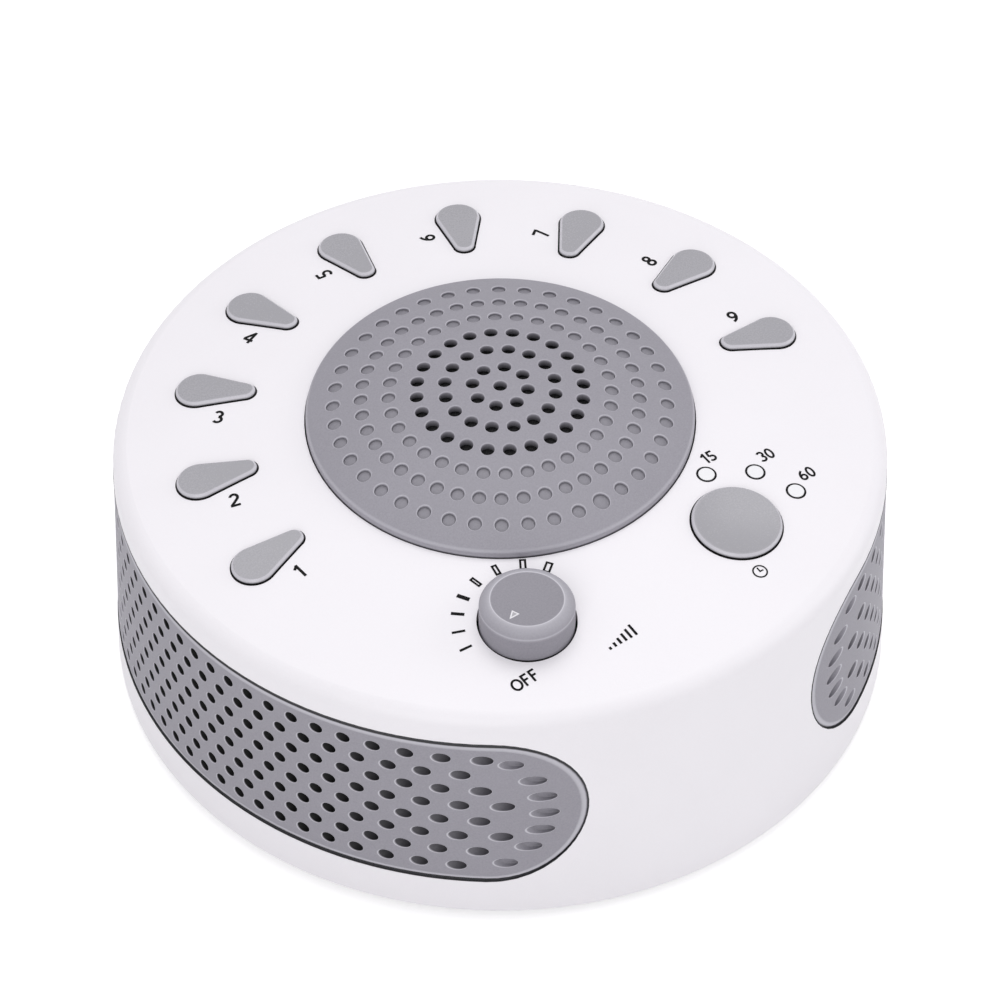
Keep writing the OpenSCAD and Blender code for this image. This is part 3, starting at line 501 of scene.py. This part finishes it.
class Shell:
    # gathers the points, normals and faces of one moulding
    room = 0.4  # between a hole and the loose points round it
    merge = 1e-7  # points of a sheet that are this close are one

    def __init__(self):
        self.points, self.normals, self.edges, self.faces, self.flats = [], [], [], [], {}

    def point(self, place, normal, flat=None, edge=0):
        self.points.append(place * mm)
        self.normals.append(normal.normalized())
        self.edges.append(edge)
        if flat:
            self.flats[len(self.points) - 1] = flat
        return len(self.points) - 1

    def band(self, first, second, hole):
        for i, a in enumerate(first):
            b = first[i + 1 - len(first)]
            c, d = second[i + 1 - len(first)], second[i]
            self.faces.append((a, b, c, d) if hole else (a, d, c, b))

    def loft(self, face, outline, profile, hole=False):
        # profile: (growth, depth, tilt, edge) rings; tilt 0 looks out of the face and 90 along
        # it, and edge runs from -1, painted shade as dark as a gap, over 0, plain, to 1, a
        # painted highlight
        rings = []
        for growth, depth, tilt, edge in profile:
            t = math.radians(tilt)
            sign = -1 if hole else 1
            ring = []
            for u, v, nu, nv in outline(growth):
                normal = face.out(u, v) * math.cos(t) + face.side(nu, nv) * sign * math.sin(t)
                flat = None if rings else face.flat(u, v)
                ring.append(self.point(face.at(u, v, depth), normal, flat, edge))
            if rings:
                self.band(rings[-1], ring, hole)
            rings.append(ring)
        return rings

    def hole(self, face, outline, profile, isBlind):
        # gives the ring where the hole meets the face
        rings = self.loft(face, outline, profile, True)
        if isBlind:
            self.faces.append(rings[-1])
        return rings[0]

    def turned(self, x, y, profile, count):
        # rings round an upright axis: (radius, height, tilt from upright, edge)
        rings = []
        for r, z, tilt, edge in profile:
            ring = []
            for a in turnsOf(count):
                way = Vector((math.cos(a), math.sin(a), 0))
                normal = way * math.sin(tilt) + Vector((0, 0, math.cos(tilt)))
                flat = None if rings else Vector((way.x * r, way.y * r))
                ring.append(self.point(way * r + Vector((x, y, z)), normal, flat, edge))
            if rings:
                self.band(rings[-1], ring, False)
            rings.append(ring)
        return rings

    def fill(self, face, outer, holes, loose):
        # a sheet from the outer ring to the rings of its holes, by way of loose points
        owner = {i: n for n, ring in enumerate(holes) for i in ring}
        rounds = []
        for ring in holes:
            middle = sum((self.flats[i] for i in ring), Vector((0, 0))) / len(ring)
            reach = max((self.flats[i] - middle).length for i in ring)
            rounds.append((middle, reach + self.room))
        loose = [self.point(face.at(u, v), face.out(u, v), face.flat(u, v)) for u, v in loose
                 if all((face.flat(u, v) - middle).length > r for middle, r in rounds)]
        order = [i for ring in [outer] + holes for i in ring] + loose
        seat = {i: n for n, i in enumerate(order)}
        edges = [(seat[ring[k - 1]], seat[ring[k]])
                 for ring in [outer] + holes for k in range(len(ring))]
        made = delaunay_2d_cdt([self.flats[i] for i in order], edges, [], 0, self.merge, True)
        source = [order[ids[0]] for ids in made[3]]
        for triangle in made[2]:
            ids = [source[k] for k in triangle]
            rings = {owner.get(i) for i in ids}
            if rings == {None} or len(rings) > 1:
                self.faces.append(ids)

    def build(self, name, slotName, bodyName, *replaced):
        mesh = bpy.data.meshes.new(name)
        mesh.from_pydata(self.points, [], self.faces)
        mesh.polygons.foreach_set("use_smooth", [True] * len(mesh.polygons))
        mesh.normals_split_custom_set_from_vertices(self.normals)
        # the edge attribute carries each point's painted highlight and painted shade
        mesh.attributes.new("edge", "FLOAT", "POINT").data.foreach_set("value", self.edges)
        mesh.materials.append(finishes[slotName])
        piece = addObject(name, mesh)
        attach(piece, bodyName)
        if replaced:
            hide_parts(*replaced)


holeFacets = 24


def holeEdge(radius, depth, rim, deep, early=0.5):
    # quarter round from the face over into a wall that goes down to depth; rim is the painted
    # highlight on the round, deep the painted shade (the edge value) at the wall's foot, and
    # early the share of it right under the rounding
    steps = 4
    turns = [math.pi / 2 * i / steps for i in range(steps + 1)]
    rings = [(radius * (1 - math.sin(t)), radius * (1 - math.cos(t)), math.degrees(t),
              rim * math.sin(2 * t)) for t in turns]
    return rings + [(0, min(depth, 2 * radius), 90, deep * early), (0, depth, 90, deep)]


def domeRim(face):
    # rings from the cap's edge round over the rim and down its upright lip, with a painted
    # highlight over the rim and the lip's top and painted shade from the lip's foot down into the
    # gap
    edge, steps, level = dome["round"], dome["rimSteps"], math.pi / 2
    turnC = dome["r"] - edge
    start = math.degrees(math.asin(turnC / (face.capR - edge)))
    riseC = face.capC + math.sqrt((face.capR - edge) ** 2 - turnC ** 2)
    rings = []
    for i in range(steps + 1):
        t = math.radians(start + (90 - start) * i / steps)
        rings.append((turnC + edge * math.sin(t), riseC + edge * math.cos(t), t,
                      dome["rimHighlight"] * math.sin(math.pi * i / (steps + 1))))
    return rings + [(dome["r"], faceZ + dome["lipHigh"], level, dome["lipHighlight"]),
                    (dome["r"], faceZ + dome["lipLow"], level, dome["lipShade"]),
                    (dome["r"], riseC - dome["skirt"], level, -1)]


def makeDome():
    shell, face = Shell(), DomeFace()
    rim = shell.turned(0, 0, domeRim(face), dome["facets"])
    # holes and dimples with a painted highlight on their rounded edges and painted shade down
    # their walls and on the dimple floors
    through = holeEdge(dome["holeRound"], dome["web"], dome["holeHighlight"], dome["holeShade"])
    floor, soft = dome["dimple"], dome["dimpleSoft"]
    blind = holeEdge(dome["holeRound"], floor - soft, dome["dimpleHighlight"], dome["dimpleShade"])
    blind.append((-soft, floor, 0, dome["floorShade"]))
    holes = []
    for i, number in enumerate(dome["counts"]):
        isBlind = i > dome["openRings"]
        for k in range(number):
            a = math.radians(dome["turn"] + 360 * k / number)
            u, v = i * dome["step"] * math.cos(a), i * dome["step"] * math.sin(a)
            size = dome["markerD"] if (i, k) == dome["marker"] else dome["holeD"]
            outline = circleOutline(u, v, size / 2, holeFacets)
            holes.append(shell.hole(face, outline, blind if isBlind else through, isBlind))

    # loose points half-way between the last holes and the rim
    lastHole = (len(dome["counts"]) - 1) * dome["step"] + dome["holeD"] / 2
    margin = (lastHole + dome["r"] - dome["round"]) / 2 + dome["looseOut"]
    loose = [(u, v) for u, v, _, _ in circleOutline(0, 0, margin, dome["facets"] // 2)(0)]
    shell.fill(face, rim[0], holes, loose)
    shell.build("domeMoulding", "grille_grey", "housing", "dome_grille")


makeDome()
print("dome grille made")


side = {"height": 35.6, "midZ": 28.0, "halfAngle": 70.2, "sunk": 0.05,
        "holeD": 2.3, "pitchY": 4.54, "pitchZ": 3.99, "rows": 8, "web": 1.8, "holeRound": 0.14,
        "holeRoom": 4.2, "outlineRoom": 2.0,  # a hole's least room to a dimple and the outline
        "endDimples": 7, "endPitch": 4.3, "endInset": 8.0, "endColumnR": 16.0, "endDepth": 1.0,
        "endSoft": 0.25, "endSteps": 28, "straightSteps": 52,
        "looseIn": 0.7,  # from the rim in to the sheet's loose points
        # a painted highlight on hole and dimple edges, painted shade in the end dimples and on
        # their floors
        "holeHighlight": 0.9, "endHighlight": 0.8, "endShade": -0.3, "endFloorShade": -0.25,
        "throughShade": (-0.95, -0.4), "throughShadeFade": (38.0, 64.0)}  # painted shade down the through-holes, darkest in the middle and lighter towards the ends
sideRim = (  # from the panel's face out and down into the gap: growth, depth, tilt, edge; edge paints a highlight on the rounded rim and shade down in the gap
    (-1.4, 0, 0, 0), (-1.1, 0.02, 8, 0.5), (-0.75, 0.08, 15, 0.7), (-0.6, 0.12, 20, 0.6),
    (-0.48, 0.17, 26, -0.8), (-0.3, 0.28, 38, -1), (-0.17, 0.4, 50, -1), (-0.05, 0.6, 72, -1),
    (0, 0.8, 90, -1), (0, 2.2, 90, -1))
sideR = wallR(side["midZ"])
sideTip = sideR * math.radians(side["halfAngle"])


def acrossOf(s):
    # distance round the wall to distance across it
    return sideR * math.sin(s / sideR)


def grilleOutline(g):
    r = side["height"] / 2
    straight, steps = sideTip - r, side["straightSteps"]
    right = arcPoints(straight, side["midZ"], r + g, -90, 90, side["endSteps"])
    top = [(straight - 2 * straight * i / steps, side["midZ"] + r + g, 0, 1)
           for i in range(1, steps)]
    left = arcPoints(-straight, side["midZ"], r + g, 90, 270, side["endSteps"])
    under = [(-s, 2 * side["midZ"] - z, 0, -1) for s, z, _, _ in top]
    return [(acrossOf(s), z, ns, nz) for s, z, ns, nz in right + top + left + under]


def endColumn(h):
    # distance round the wall to the curved column of dimples, at h above the middle
    centre = sideTip - side["endInset"] - side["endColumnR"]
    return centre + math.sqrt(side["endColumnR"] ** 2 - h * h)


def endHoles():
    # the column's dimples: (distance round, height)
    heights = [(k - (side["endDimples"] - 1) / 2) * side["endPitch"]
               for k in range(side["endDimples"])]
    return [(endColumn(h), h) for h in heights]


def latticeHoles():
    # the through-holes, every other row half a pitch over: (distance across, height)
    last = math.ceil(sideR / side["pitchY"])
    found = []
    for j in range(side["rows"]):
        h = (j - (side["rows"] - 1) / 2) * side["pitchZ"]
        for k in range(-last, last + 1):
            u = (k + (0.5 if j % 2 == 0 else 0)) * side["pitchY"]
            if abs(u) >= sideR - side["outlineRoom"]:
                continue
            s = sideR * math.asin(abs(u) / sideR)
            room = min(math.hypot(s - es, h - eh) for es, eh in endHoles())
            if s < endColumn(h) and room > side["holeRoom"]:
                found.append((u, h))
    return found


def makeSideGrille(name, azimuth, replaced):
    shell, face = Shell(), WallFace(azimuth, side["sunk"])
    rim = shell.loft(face, grilleOutline, sideRim)
    middleHoleShade, endHoleShade = side["throughShade"]
    first, last = side["throughShadeFade"]

    def holeAt(u, h, profile, isBlind):
        outline = circleOutline(u, side["midZ"] + h, side["holeD"] / 2, holeFacets)
        return shell.hole(face, outline, profile, isBlind)

    holes = []
    for u, h in latticeHoles():
        # painted shade down each through-hole, less of it towards the grille's ends
        lit = min(1, max(0, (abs(u) - first) / (last - first)))
        through = holeEdge(side["holeRound"], side["web"], side["holeHighlight"],
                           middleHoleShade + (endHoleShade - middleHoleShade) * lit, 1)
        holes.append(holeAt(u, h, through, False))
    # end dimples with a painted highlight on their rounding and painted shade inside
    floor, soft = side["endDepth"], side["endSoft"]
    blind = holeEdge(side["holeRound"], floor - soft, side["endHighlight"], side["endShade"])
    blind.append((-soft, floor, 0, side["endFloorShade"]))
    for s, h in endHoles():
        holes += [holeAt(way * acrossOf(s), h, blind, True) for way in (-1, 1)]
    loose = [(u, v) for u, v, _, _ in grilleOutline(sideRim[0][0] - side["looseIn"])][::2]
    shell.fill(face, rim[0], holes, loose)
    shell.build(name, "grille_grey", "housing", replaced)


# a black strip standing in for the shade in the gap round each side grille
shadeStrip = {"inner": -0.3, "outer": 0.18, "deep": 0.3, "lip": 0.18, "rise": 0.14, "proud": 0.06}


def makeSeal(name, azimuth):
    # black strip in the gap round a side grille, its lip lying on the housing: a dark sheet that
    # paints the gap's shade
    shell, face = Shell(), WallFace(azimuth)
    inner, outer, lip, up = shadeStrip["inner"], shadeStrip["outer"], shadeStrip["lip"], shadeStrip["proud"]

    def outline(growth):
        rise = shadeStrip["rise"] if growth > outer else 0
        return [(u, v + rise, nu, nv) for u, v, nu, nv in grilleOutline(growth)]

    shell.loft(face, outline, (
        (inner, shadeStrip["deep"], 0, 0), (outer, shadeStrip["deep"], 0, 0), (outer, shadeStrip["deep"], -90, 0),
        (outer, 0, -90, 0), (outer + up, -up, -45, 0), (outer + 2 * up, -up, 0, 0),
        (outer + lip - up, -up, 0, 0), (outer + lip, 0, 90, 0), (outer + lip, up, 90, 0)))
    shell.build(name, "foam_black", "housing")


makeSideGrille("sideMouldingRight", 0, "side_grille_right")
makeSideGrille("sideMouldingLeft", 180, "side_grille_left")
makeSeal("sideShadeStripRight", 0)
makeSeal("sideShadeStripLeft", 180)
print("side grilles made")


# the bevel gets a painted highlight, and the wall from gapTop down painted shade as dark as a gap
keyEdge = {"proud": 0.9, "bevel": 0.45, "soft": 0.12, "body": 3.4,
           "corner": 0.7,  # how far along its soft edge a corner's middle lies
           "gapTop": 0.1, "bevelHighlight": (0.9, 0.8)}
keys = {"count": 9, "step": 24.1, "rIn": 48.0, "rOut": 57.1, "wide": 4.2, "narrow": 1.9,
        "wideSteps": 30, "narrowSteps": 18}
timer = {"azimuth": -63.2, "r": 50.2, "d": 16.8, "dish": 0.6, "facets": 96,
         "dishRings": (0.15, 0.4, 0.65, 0.85, 0.96)}  # as shares of the dish's radius


def keyProfile():
    # top rim, bevel and wall, with each corner turned over a narrow soft edge; a painted
    # highlight on the bevel and painted shade down the wall in the gap
    top, bevel, soft = -keyEdge["proud"], keyEdge["bevel"], keyEdge["soft"]
    corner = soft * keyEdge["corner"]
    upper, lower = keyEdge["bevelHighlight"]
    return [(-bevel - soft, top, 0, 0), (-bevel + corner, top + corner, 45, upper),
            (-corner, top + bevel - corner, 45, lower), (0, top + bevel + soft, 90, 0),
            (0, -keyEdge["gapTop"], 90, -1), (0, top + keyEdge["body"], 90, -1)]


def tearOutline(g):
    # a wide round end outwards and a narrow one inwards, joined by straight flanks
    reach = (keys["rOut"] - keys["rIn"]) / 2
    lean = math.degrees(math.asin((keys["wide"] - keys["narrow"]) / (2 * reach)))
    wide = arcPoints(reach, 0, keys["wide"] + g, -90 - lean, 90 + lean, keys["wideSteps"])
    return wide + arcPoints(-reach, 0, keys["narrow"] + g, 90 + lean, 270 - lean,
                            keys["narrowSteps"])


def keyAzimuth(k):
    return 90 + ((keys["count"] + 1) / 2 - k) * keys["step"]


def makeSoundButton(k):
    shell, face = Shell(), squareToFace(keyAzimuth(k), (keys["rIn"] + keys["rOut"]) / 2)
    rings = shell.loft(face, tearOutline, keyProfile())
    shell.faces.append(rings[0])
    shell.build(f"soundKey{k}", "key_grey", f"button_{k}", f"sound_button_{k}")


def makeTimerButton():
    shell, face = Shell(), squareToFace(timer["azimuth"], timer["r"])
    r, deep = timer["d"] / 2, timer["dish"]
    dishR = r - keyEdge["bevel"] - keyEdge["soft"]
    lean = math.degrees(2 * deep / dishR)
    dish = [(-r + dishR * t, -keyEdge["proud"] + deep * (1 - t * t), -lean * t, 0)
            for t in timer["dishRings"]]
    rings = shell.loft(face, circleOutline(0, 0, r, timer["facets"]), dish + keyProfile())
    shell.faces.append(rings[0])
    shell.build("timerKey", "key_grey", "timer", "timer_button")


for number in range(1, keys["count"] + 1):
    makeSoundButton(number)
makeTimerButton()
print("buttons made")


# the shoulder and skirt values paint a highlight on the round, fading down it; shade paints the
# dished top and the skirt darker, and below gapDark the gap is painted near black
knob = {"azimuth": -116.8, "r": 50.2, "d": 17.4, "high": 5.6, "round": 2.0, "dish": 0.25,
        "line": 0.13, "highlightDown": 0.35, "gapTop": 0.05, "gapDark": 0.1, "wall": 1.6, "sunk": 4.0,
        "facets": 96, "topRings": (0.4, 1.8, 3.6, 5.2), "roundSteps": 10,
        "shoulderHighlight": 0.4, "fade": 0.06, "skirtHighlight": 0.55, "shade": -0.2}
# a fine ridge round the knob's top with a painted highlight along it: widths out from its middle,
# drop, tilt, edge
topLine = ((-1, 0.01, -0.25, 0.2), (0, 0, 0.05, 1), (1, 0.01, 0.25, 0.5))
pointer = {"azimuth": 205.0, "r": 4.6, "tip": 1.35, "back": 0.85, "line": 0.26, "deep": 0.05,
           "inner": 0.03, "outer": 0.04, "body": 0.3, "dishShare": 0.2}


def polar(r, azimuth):
    a = math.radians(azimuth)
    return r * math.cos(a), r * math.sin(a)


def makeKnob():
    shell = Shell()
    x, y = polar(knob["r"], knob["azimuth"])
    outer, top = knob["d"] / 2, crownZ(knob["r"]) + knob["high"]
    turnC, turnZ, line = outer - knob["round"], top - knob["round"], knob["line"]
    bowlR = turnC ** 2 / (2 * knob["dish"])
    # the dished top, with painted shade
    profile = [(r, top - knob["dish"] + r * r / (2 * bowlR), -r / bowlR, knob["shade"])
               for r in (*knob["topRings"], turnC - 2 * line)]
    profile += [(turnC + n * line, top - drop, tilt, edge) for n, drop, tilt, edge in topLine]
    steps = knob["roundSteps"]
    # a painted highlight over the round, fading down it, brightest in a line near its foot
    for i in range(2, steps + 1):  # the line has the place of the first two
        t = math.radians(90 * i / steps)
        highlight = knob["shoulderHighlight"] * (1 - knob["fade"] * i)
        profile.append((turnC + knob["round"] * math.sin(t), turnZ + knob["round"] * math.cos(t),
                        t, knob["skirtHighlight"] if i == steps - 1 else highlight))
    lowFace, level = crownZ(knob["r"] + outer), math.pi / 2
    inner, foot = outer - knob["wall"], lowFace - knob["sunk"]
    # the skirt with painted shade, and painted near black down in the gap below the face
    profile += [(outer, turnZ - knob["highlightDown"], level, knob["shade"]),
                (outer, lowFace + knob["gapTop"], level, knob["shade"]),
                (outer, lowFace - knob["gapDark"], level, -1), (outer, foot, level, -1),
                (inner, foot, math.pi, -1), (inner, lowFace, math.pi * 1.5, -1)]
    rings = shell.turned(x, y, profile, knob["facets"])
    shell.faces.append(rings[0])
    shell.build("knobMoulding", "grille_grey", "knob", "volume_knob")


def makePointer():
    # a raised outline with a shallow middle
    x, y = polar(knob["r"], knob["azimuth"])
    top = crownZ(knob["r"]) + knob["high"] - knob["dish"] * pointer["dishShare"]
    face = PlaneFace(Matrix.Translation((x, y, top))
                     @ Matrix.Rotation(math.radians(pointer["azimuth"]), 4, "Z")
                     @ Matrix.Translation((pointer["r"], 0, 0)))
    tip, back = pointer["tip"], pointer["back"]
    half = math.atan2(back, tip + back)

    def outline(g):
        # corners move out along their own middles
        reach, slant = g / math.sin(half), g / math.tan((math.pi / 2 - half) / 2)
        return [(tip + reach, 0, 1, 0), (-back - g, back + slant, -0.7, 0.7),
                (-back - g, -back - slant, -0.7, -0.7)]

    line, soft = pointer["line"], pointer["outer"]
    shell = Shell()
    rings = shell.loft(face, outline, [
        (-line - pointer["inner"], pointer["deep"], 0, 0.2), (-line, 0, 0, 1),
        (-soft, 0, 0, 1), (0, soft, 60, 0.6), (0, pointer["body"], 90, 0)])
    shell.faces.append(rings[0])
    shell.build("pointerMoulding", "pointer_light", "knob", "knob_pointer")


makeKnob()
makePointer()
print("knob made")


marks = {  # places are (radius, azimuth) from the drum's middle
    "ink": 0.03, "line": 0.17, "gap": 0.17,  # line and gap are shares of a letter's height
    "numberHeight": 3.2, "numberR": 52.4, "numberTurn": 7.3,  # each beside its button
    "firstOutward": 5,  # numbers from here on read outwards, those before it inwards
    "height": 2.55, "turn": 4.0, "off": (63.1, -118.4),
    "minutes": {"15": (39.5, -47.0), "30": (49.5, -42.0), "60": (57.5, -44.4)},
    "clock": {"at": (59.6, -70.2), "r": 1.45,
              "hands": [[(0, 0.95), (0, -0.15)], [(0, 0), (0.75, 0)]]},
    "level": {"at": (57.4, -100.6), "bars": 6, "step": 1.15, "wide": 0.5, "low": 0.6,
              "high": 2.6},
    "symbolLine": 0.3,
}
knobScale = {"inner": 11.3, "outer": 13.75,
             "angles": (176.7, 159.2, 141.2, 123.9, 105.0, 84.0, 61.0, 40.0),
             "thin": 0.5, "wide": 1.45, "line": 0.4, "hollowFrom": 1.2}
lights = {"r": 13.5, "spread": 0.9, "angles": (7.0, 41.5, 82.4),  # round the timer button
          "ringIn": 1.56, "ringOut": 1.91}


def sweep(u, v, ru, rv, first, last, count=16):
    turns = [math.radians(first + (last - first) * i / count) for i in range(count + 1)]
    return [(u + ru * math.cos(a), v + rv * math.sin(a)) for a in turns]


six = [sweep(0.3, 0.3, 0.225, 0.225, 0, 360, 24), sweep(0.62, 0.32, 0.545, 0.60, 180, 112)]
strokes = {  # middle lines of the numerals and letters, 1 high
    "0": [sweep(0.3, 0.5, 0.23, 0.425, 0, 360, 28)],
    "1": [[(0.3, 0), (0.3, 1)], [(0.34, 0.95), (0.06, 0.74)]],
    "2": [sweep(0.3, 0.70, 0.22, 0.225, 165, -40) + [(0.06, 0.09)], [(0, 0.075), (0.58, 0.075)]],
    "3": [sweep(0.28, 0.725, 0.21, 0.20, 150, -85), sweep(0.27, 0.29, 0.24, 0.215, 85, -150)],
    "4": [[(0.44, 0), (0.44, 1)], [(0.44, 0.95), (0.04, 0.30)], [(0, 0.27), (0.62, 0.27)]],
    "5": [[(0.53, 0.925), (0.08, 0.925)], [(0.15, 0.95), (0.11, 0.50)],
          sweep(0.27, 0.30, 0.24, 0.225, 125, -150)],
    "6": six,
    "7": [[(0, 0.925), (0.58, 0.925)], [(0.52, 0.93), (0.2, 0)]],
    "8": [sweep(0.3, 0.735, 0.185, 0.19, 0, 360, 24), sweep(0.3, 0.285, 0.23, 0.21, 0, 360, 24)],
    "9": [[(0.6 - x, 1 - y) for x, y in path] for path in six],
    "O": [sweep(0.42, 0.5, 0.35, 0.425, 0, 360, 30)],
    "F": [[(0.075, 0), (0.075, 1)], [(0, 0.925), (0.5, 0.925)], [(0.075, 0.52), (0.44, 0.52)]],
}


class PrintSheet:
    # thin inked shapes lying on the top face
    merge = 1e-6  # points that are this close are one
    sharpest = 0.5  # limits how far a line's corner sticks out

    def __init__(self):
        self.points, self.faces = [], []

    def onFace(self, x, y):
        r = math.hypot(x, y)
        self.points.append(Vector((x, y, crownZ(r) + marks["ink"])) * mm)
        return len(self.points) - 1

    def shape(self, outline):
        self.faces.append([self.onFace(x, y) for x, y in outline])

    def ring(self, x, y, inner, outer, count=40):
        a, b = [[self.onFace(x + r * math.cos(t), y + r * math.sin(t)) for t in turnsOf(count)]
                for r in (inner, outer)]
        self.faces += [(a[i - 1], b[i - 1], b[i], a[i]) for i in range(count)]

    def ribbons(self, paths, line, x, y, turn):
        # lines of one width along the paths, joined where they cross
        points, quads = [], []
        for path in paths:
            path = [Vector(p) for p in path]
            closed = (path[0] - path[-1]).length < self.merge
            for i, p in enumerate(path):
                before = path[i - 1] if i else (path[-2] if closed else None)
                after = path[i + 1] if i + 1 < len(path) else (path[1] if closed else None)
                ways = [(b - a).normalized() for a, b in ((before, p), (p, after))
                        if a is not None and b is not None]
                way = sum(ways, Vector((0, 0))).normalized()
                across = Vector((-way.y, way.x)) * line / 2
                across /= max(self.sharpest, way.dot(ways[0]))
                points += [p + across, p - across]
                if i:
                    n = len(points)
                    quads.append((n - 4, n - 3, n - 1, n - 2))
        made = delaunay_2d_cdt(points, [], quads, 1, self.merge, True)
        spin = Matrix.Rotation(math.radians(turn), 2)
        ids = []
        for point in made[0]:
            place = spin @ point
            ids.append(self.onFace(x + place.x, y + place.y))
        self.faces += [[ids[i] for i in triangle]
                       for triangle, owners in zip(made[2], made[5]) if owners]

    def letters(self, text, x, y, height, turn):
        paths, reach = [], 0
        for glyph in text:
            wide = max(u for path in strokes[glyph] for u, _ in path)
            paths += [[(reach + u, v) for u, v in path] for path in strokes[glyph]]
            reach += wide + marks["gap"]
        middle = (reach - marks["gap"]) / 2
        paths = [[((u - middle) * height, (v - 0.5) * height) for u, v in path] for path in paths]
        self.ribbons(paths, marks["line"] * height, x, y, turn)

    def build(self, name, material):
        mesh = bpy.data.meshes.new(name)
        mesh.from_pydata(self.points, [], self.faces)
        mesh.materials.append(material)
        piece = addObject(name, mesh)
        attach(piece, "housing")


def printTicks(sheet):
    # plain thin lines first, then bars that grow wider and are hollow where there is room
    cx, cy = polar(knob["r"], knob["azimuth"])
    first, last, line = knobScale["inner"], knobScale["outer"], knobScale["line"]
    thin, wide = knobScale["thin"], knobScale["wide"]
    count = len(knobScale["angles"])

    def bar(out, across, r0, r1, h):
        corners = [out * r0 - across * h, out * r1 - across * h,
                   out * r1 + across * h, out * r0 + across * h]
        return [sheet.onFace(cx + c.x, cy + c.y) for c in corners]

    for n, angle in enumerate(knobScale["angles"]):
        a = math.radians(angle)
        out, across = Vector((math.cos(a), math.sin(a))), Vector((-math.sin(a), math.cos(a)))
        half = (thin + (wide - thin) * max(0, n - 1) / (count - 2)) / 2
        outer = bar(out, across, first, last, half)
        if half < knobScale["hollowFrom"] * line:
            sheet.faces.append(outer)
        else:
            inner = bar(out, across, first + line, last - line, half - line)
            sheet.faces += [(outer[i - 1], outer[i], inner[i], inner[i - 1]) for i in range(4)]


def printCharacters(sheet):
    for k in range(1, keys["count"] + 1):
        azimuth = keyAzimuth(k)
        place = polar(marks["numberR"], azimuth + marks["numberTurn"])
        turn = azimuth if k >= marks["firstOutward"] else azimuth + 180
        sheet.letters(str(k), *place, marks["numberHeight"], turn)
    for text, (r, azimuth) in marks["minutes"].items():
        sheet.letters(text, *polar(r, azimuth), marks["height"], marks["turn"])
    sheet.letters("OFF", *polar(*marks["off"]), marks["height"], marks["turn"])


def printSymbols(sheet):
    # a clock face by the timer button and growing bars by the knob
    clock, level = marks["clock"], marks["level"]
    x, y = polar(*clock["at"])
    sheet.ring(x, y, clock["r"] - marks["symbolLine"], clock["r"])
    sheet.ribbons(clock["hands"], marks["symbolLine"], x, y, marks["turn"])
    x, y = polar(*level["at"])
    spin = Matrix.Rotation(math.radians(marks["turn"]), 2)
    for n in range(level["bars"]):
        u = (n - (level["bars"] - 1) / 2) * level["step"]
        high = level["low"] + (level["high"] - level["low"]) * n / (level["bars"] - 1)
        corners = [spin @ Vector((u + du, v - level["high"] / 2))
                   for du, v in ((0, 0), (level["wide"], 0), (level["wide"], high), (0, high))]
        sheet.shape([(x + c.x, y + c.y) for c in corners])


def printLightRings(sheet):
    tx, ty = polar(timer["r"], timer["azimuth"])
    for n, angle in enumerate(lights["angles"]):
        dx, dy = polar(lights["r"] + (1 - n) * lights["spread"], angle)
        sheet.ring(tx + dx, ty + dy, lights["ringIn"], lights["ringOut"])


sheet = PrintSheet()
printCharacters(sheet)
printSymbols(sheet)
printTicks(sheet)
printLightRings(sheet)
sheet.build("facePrint", inkBlack)
print("marks printed")
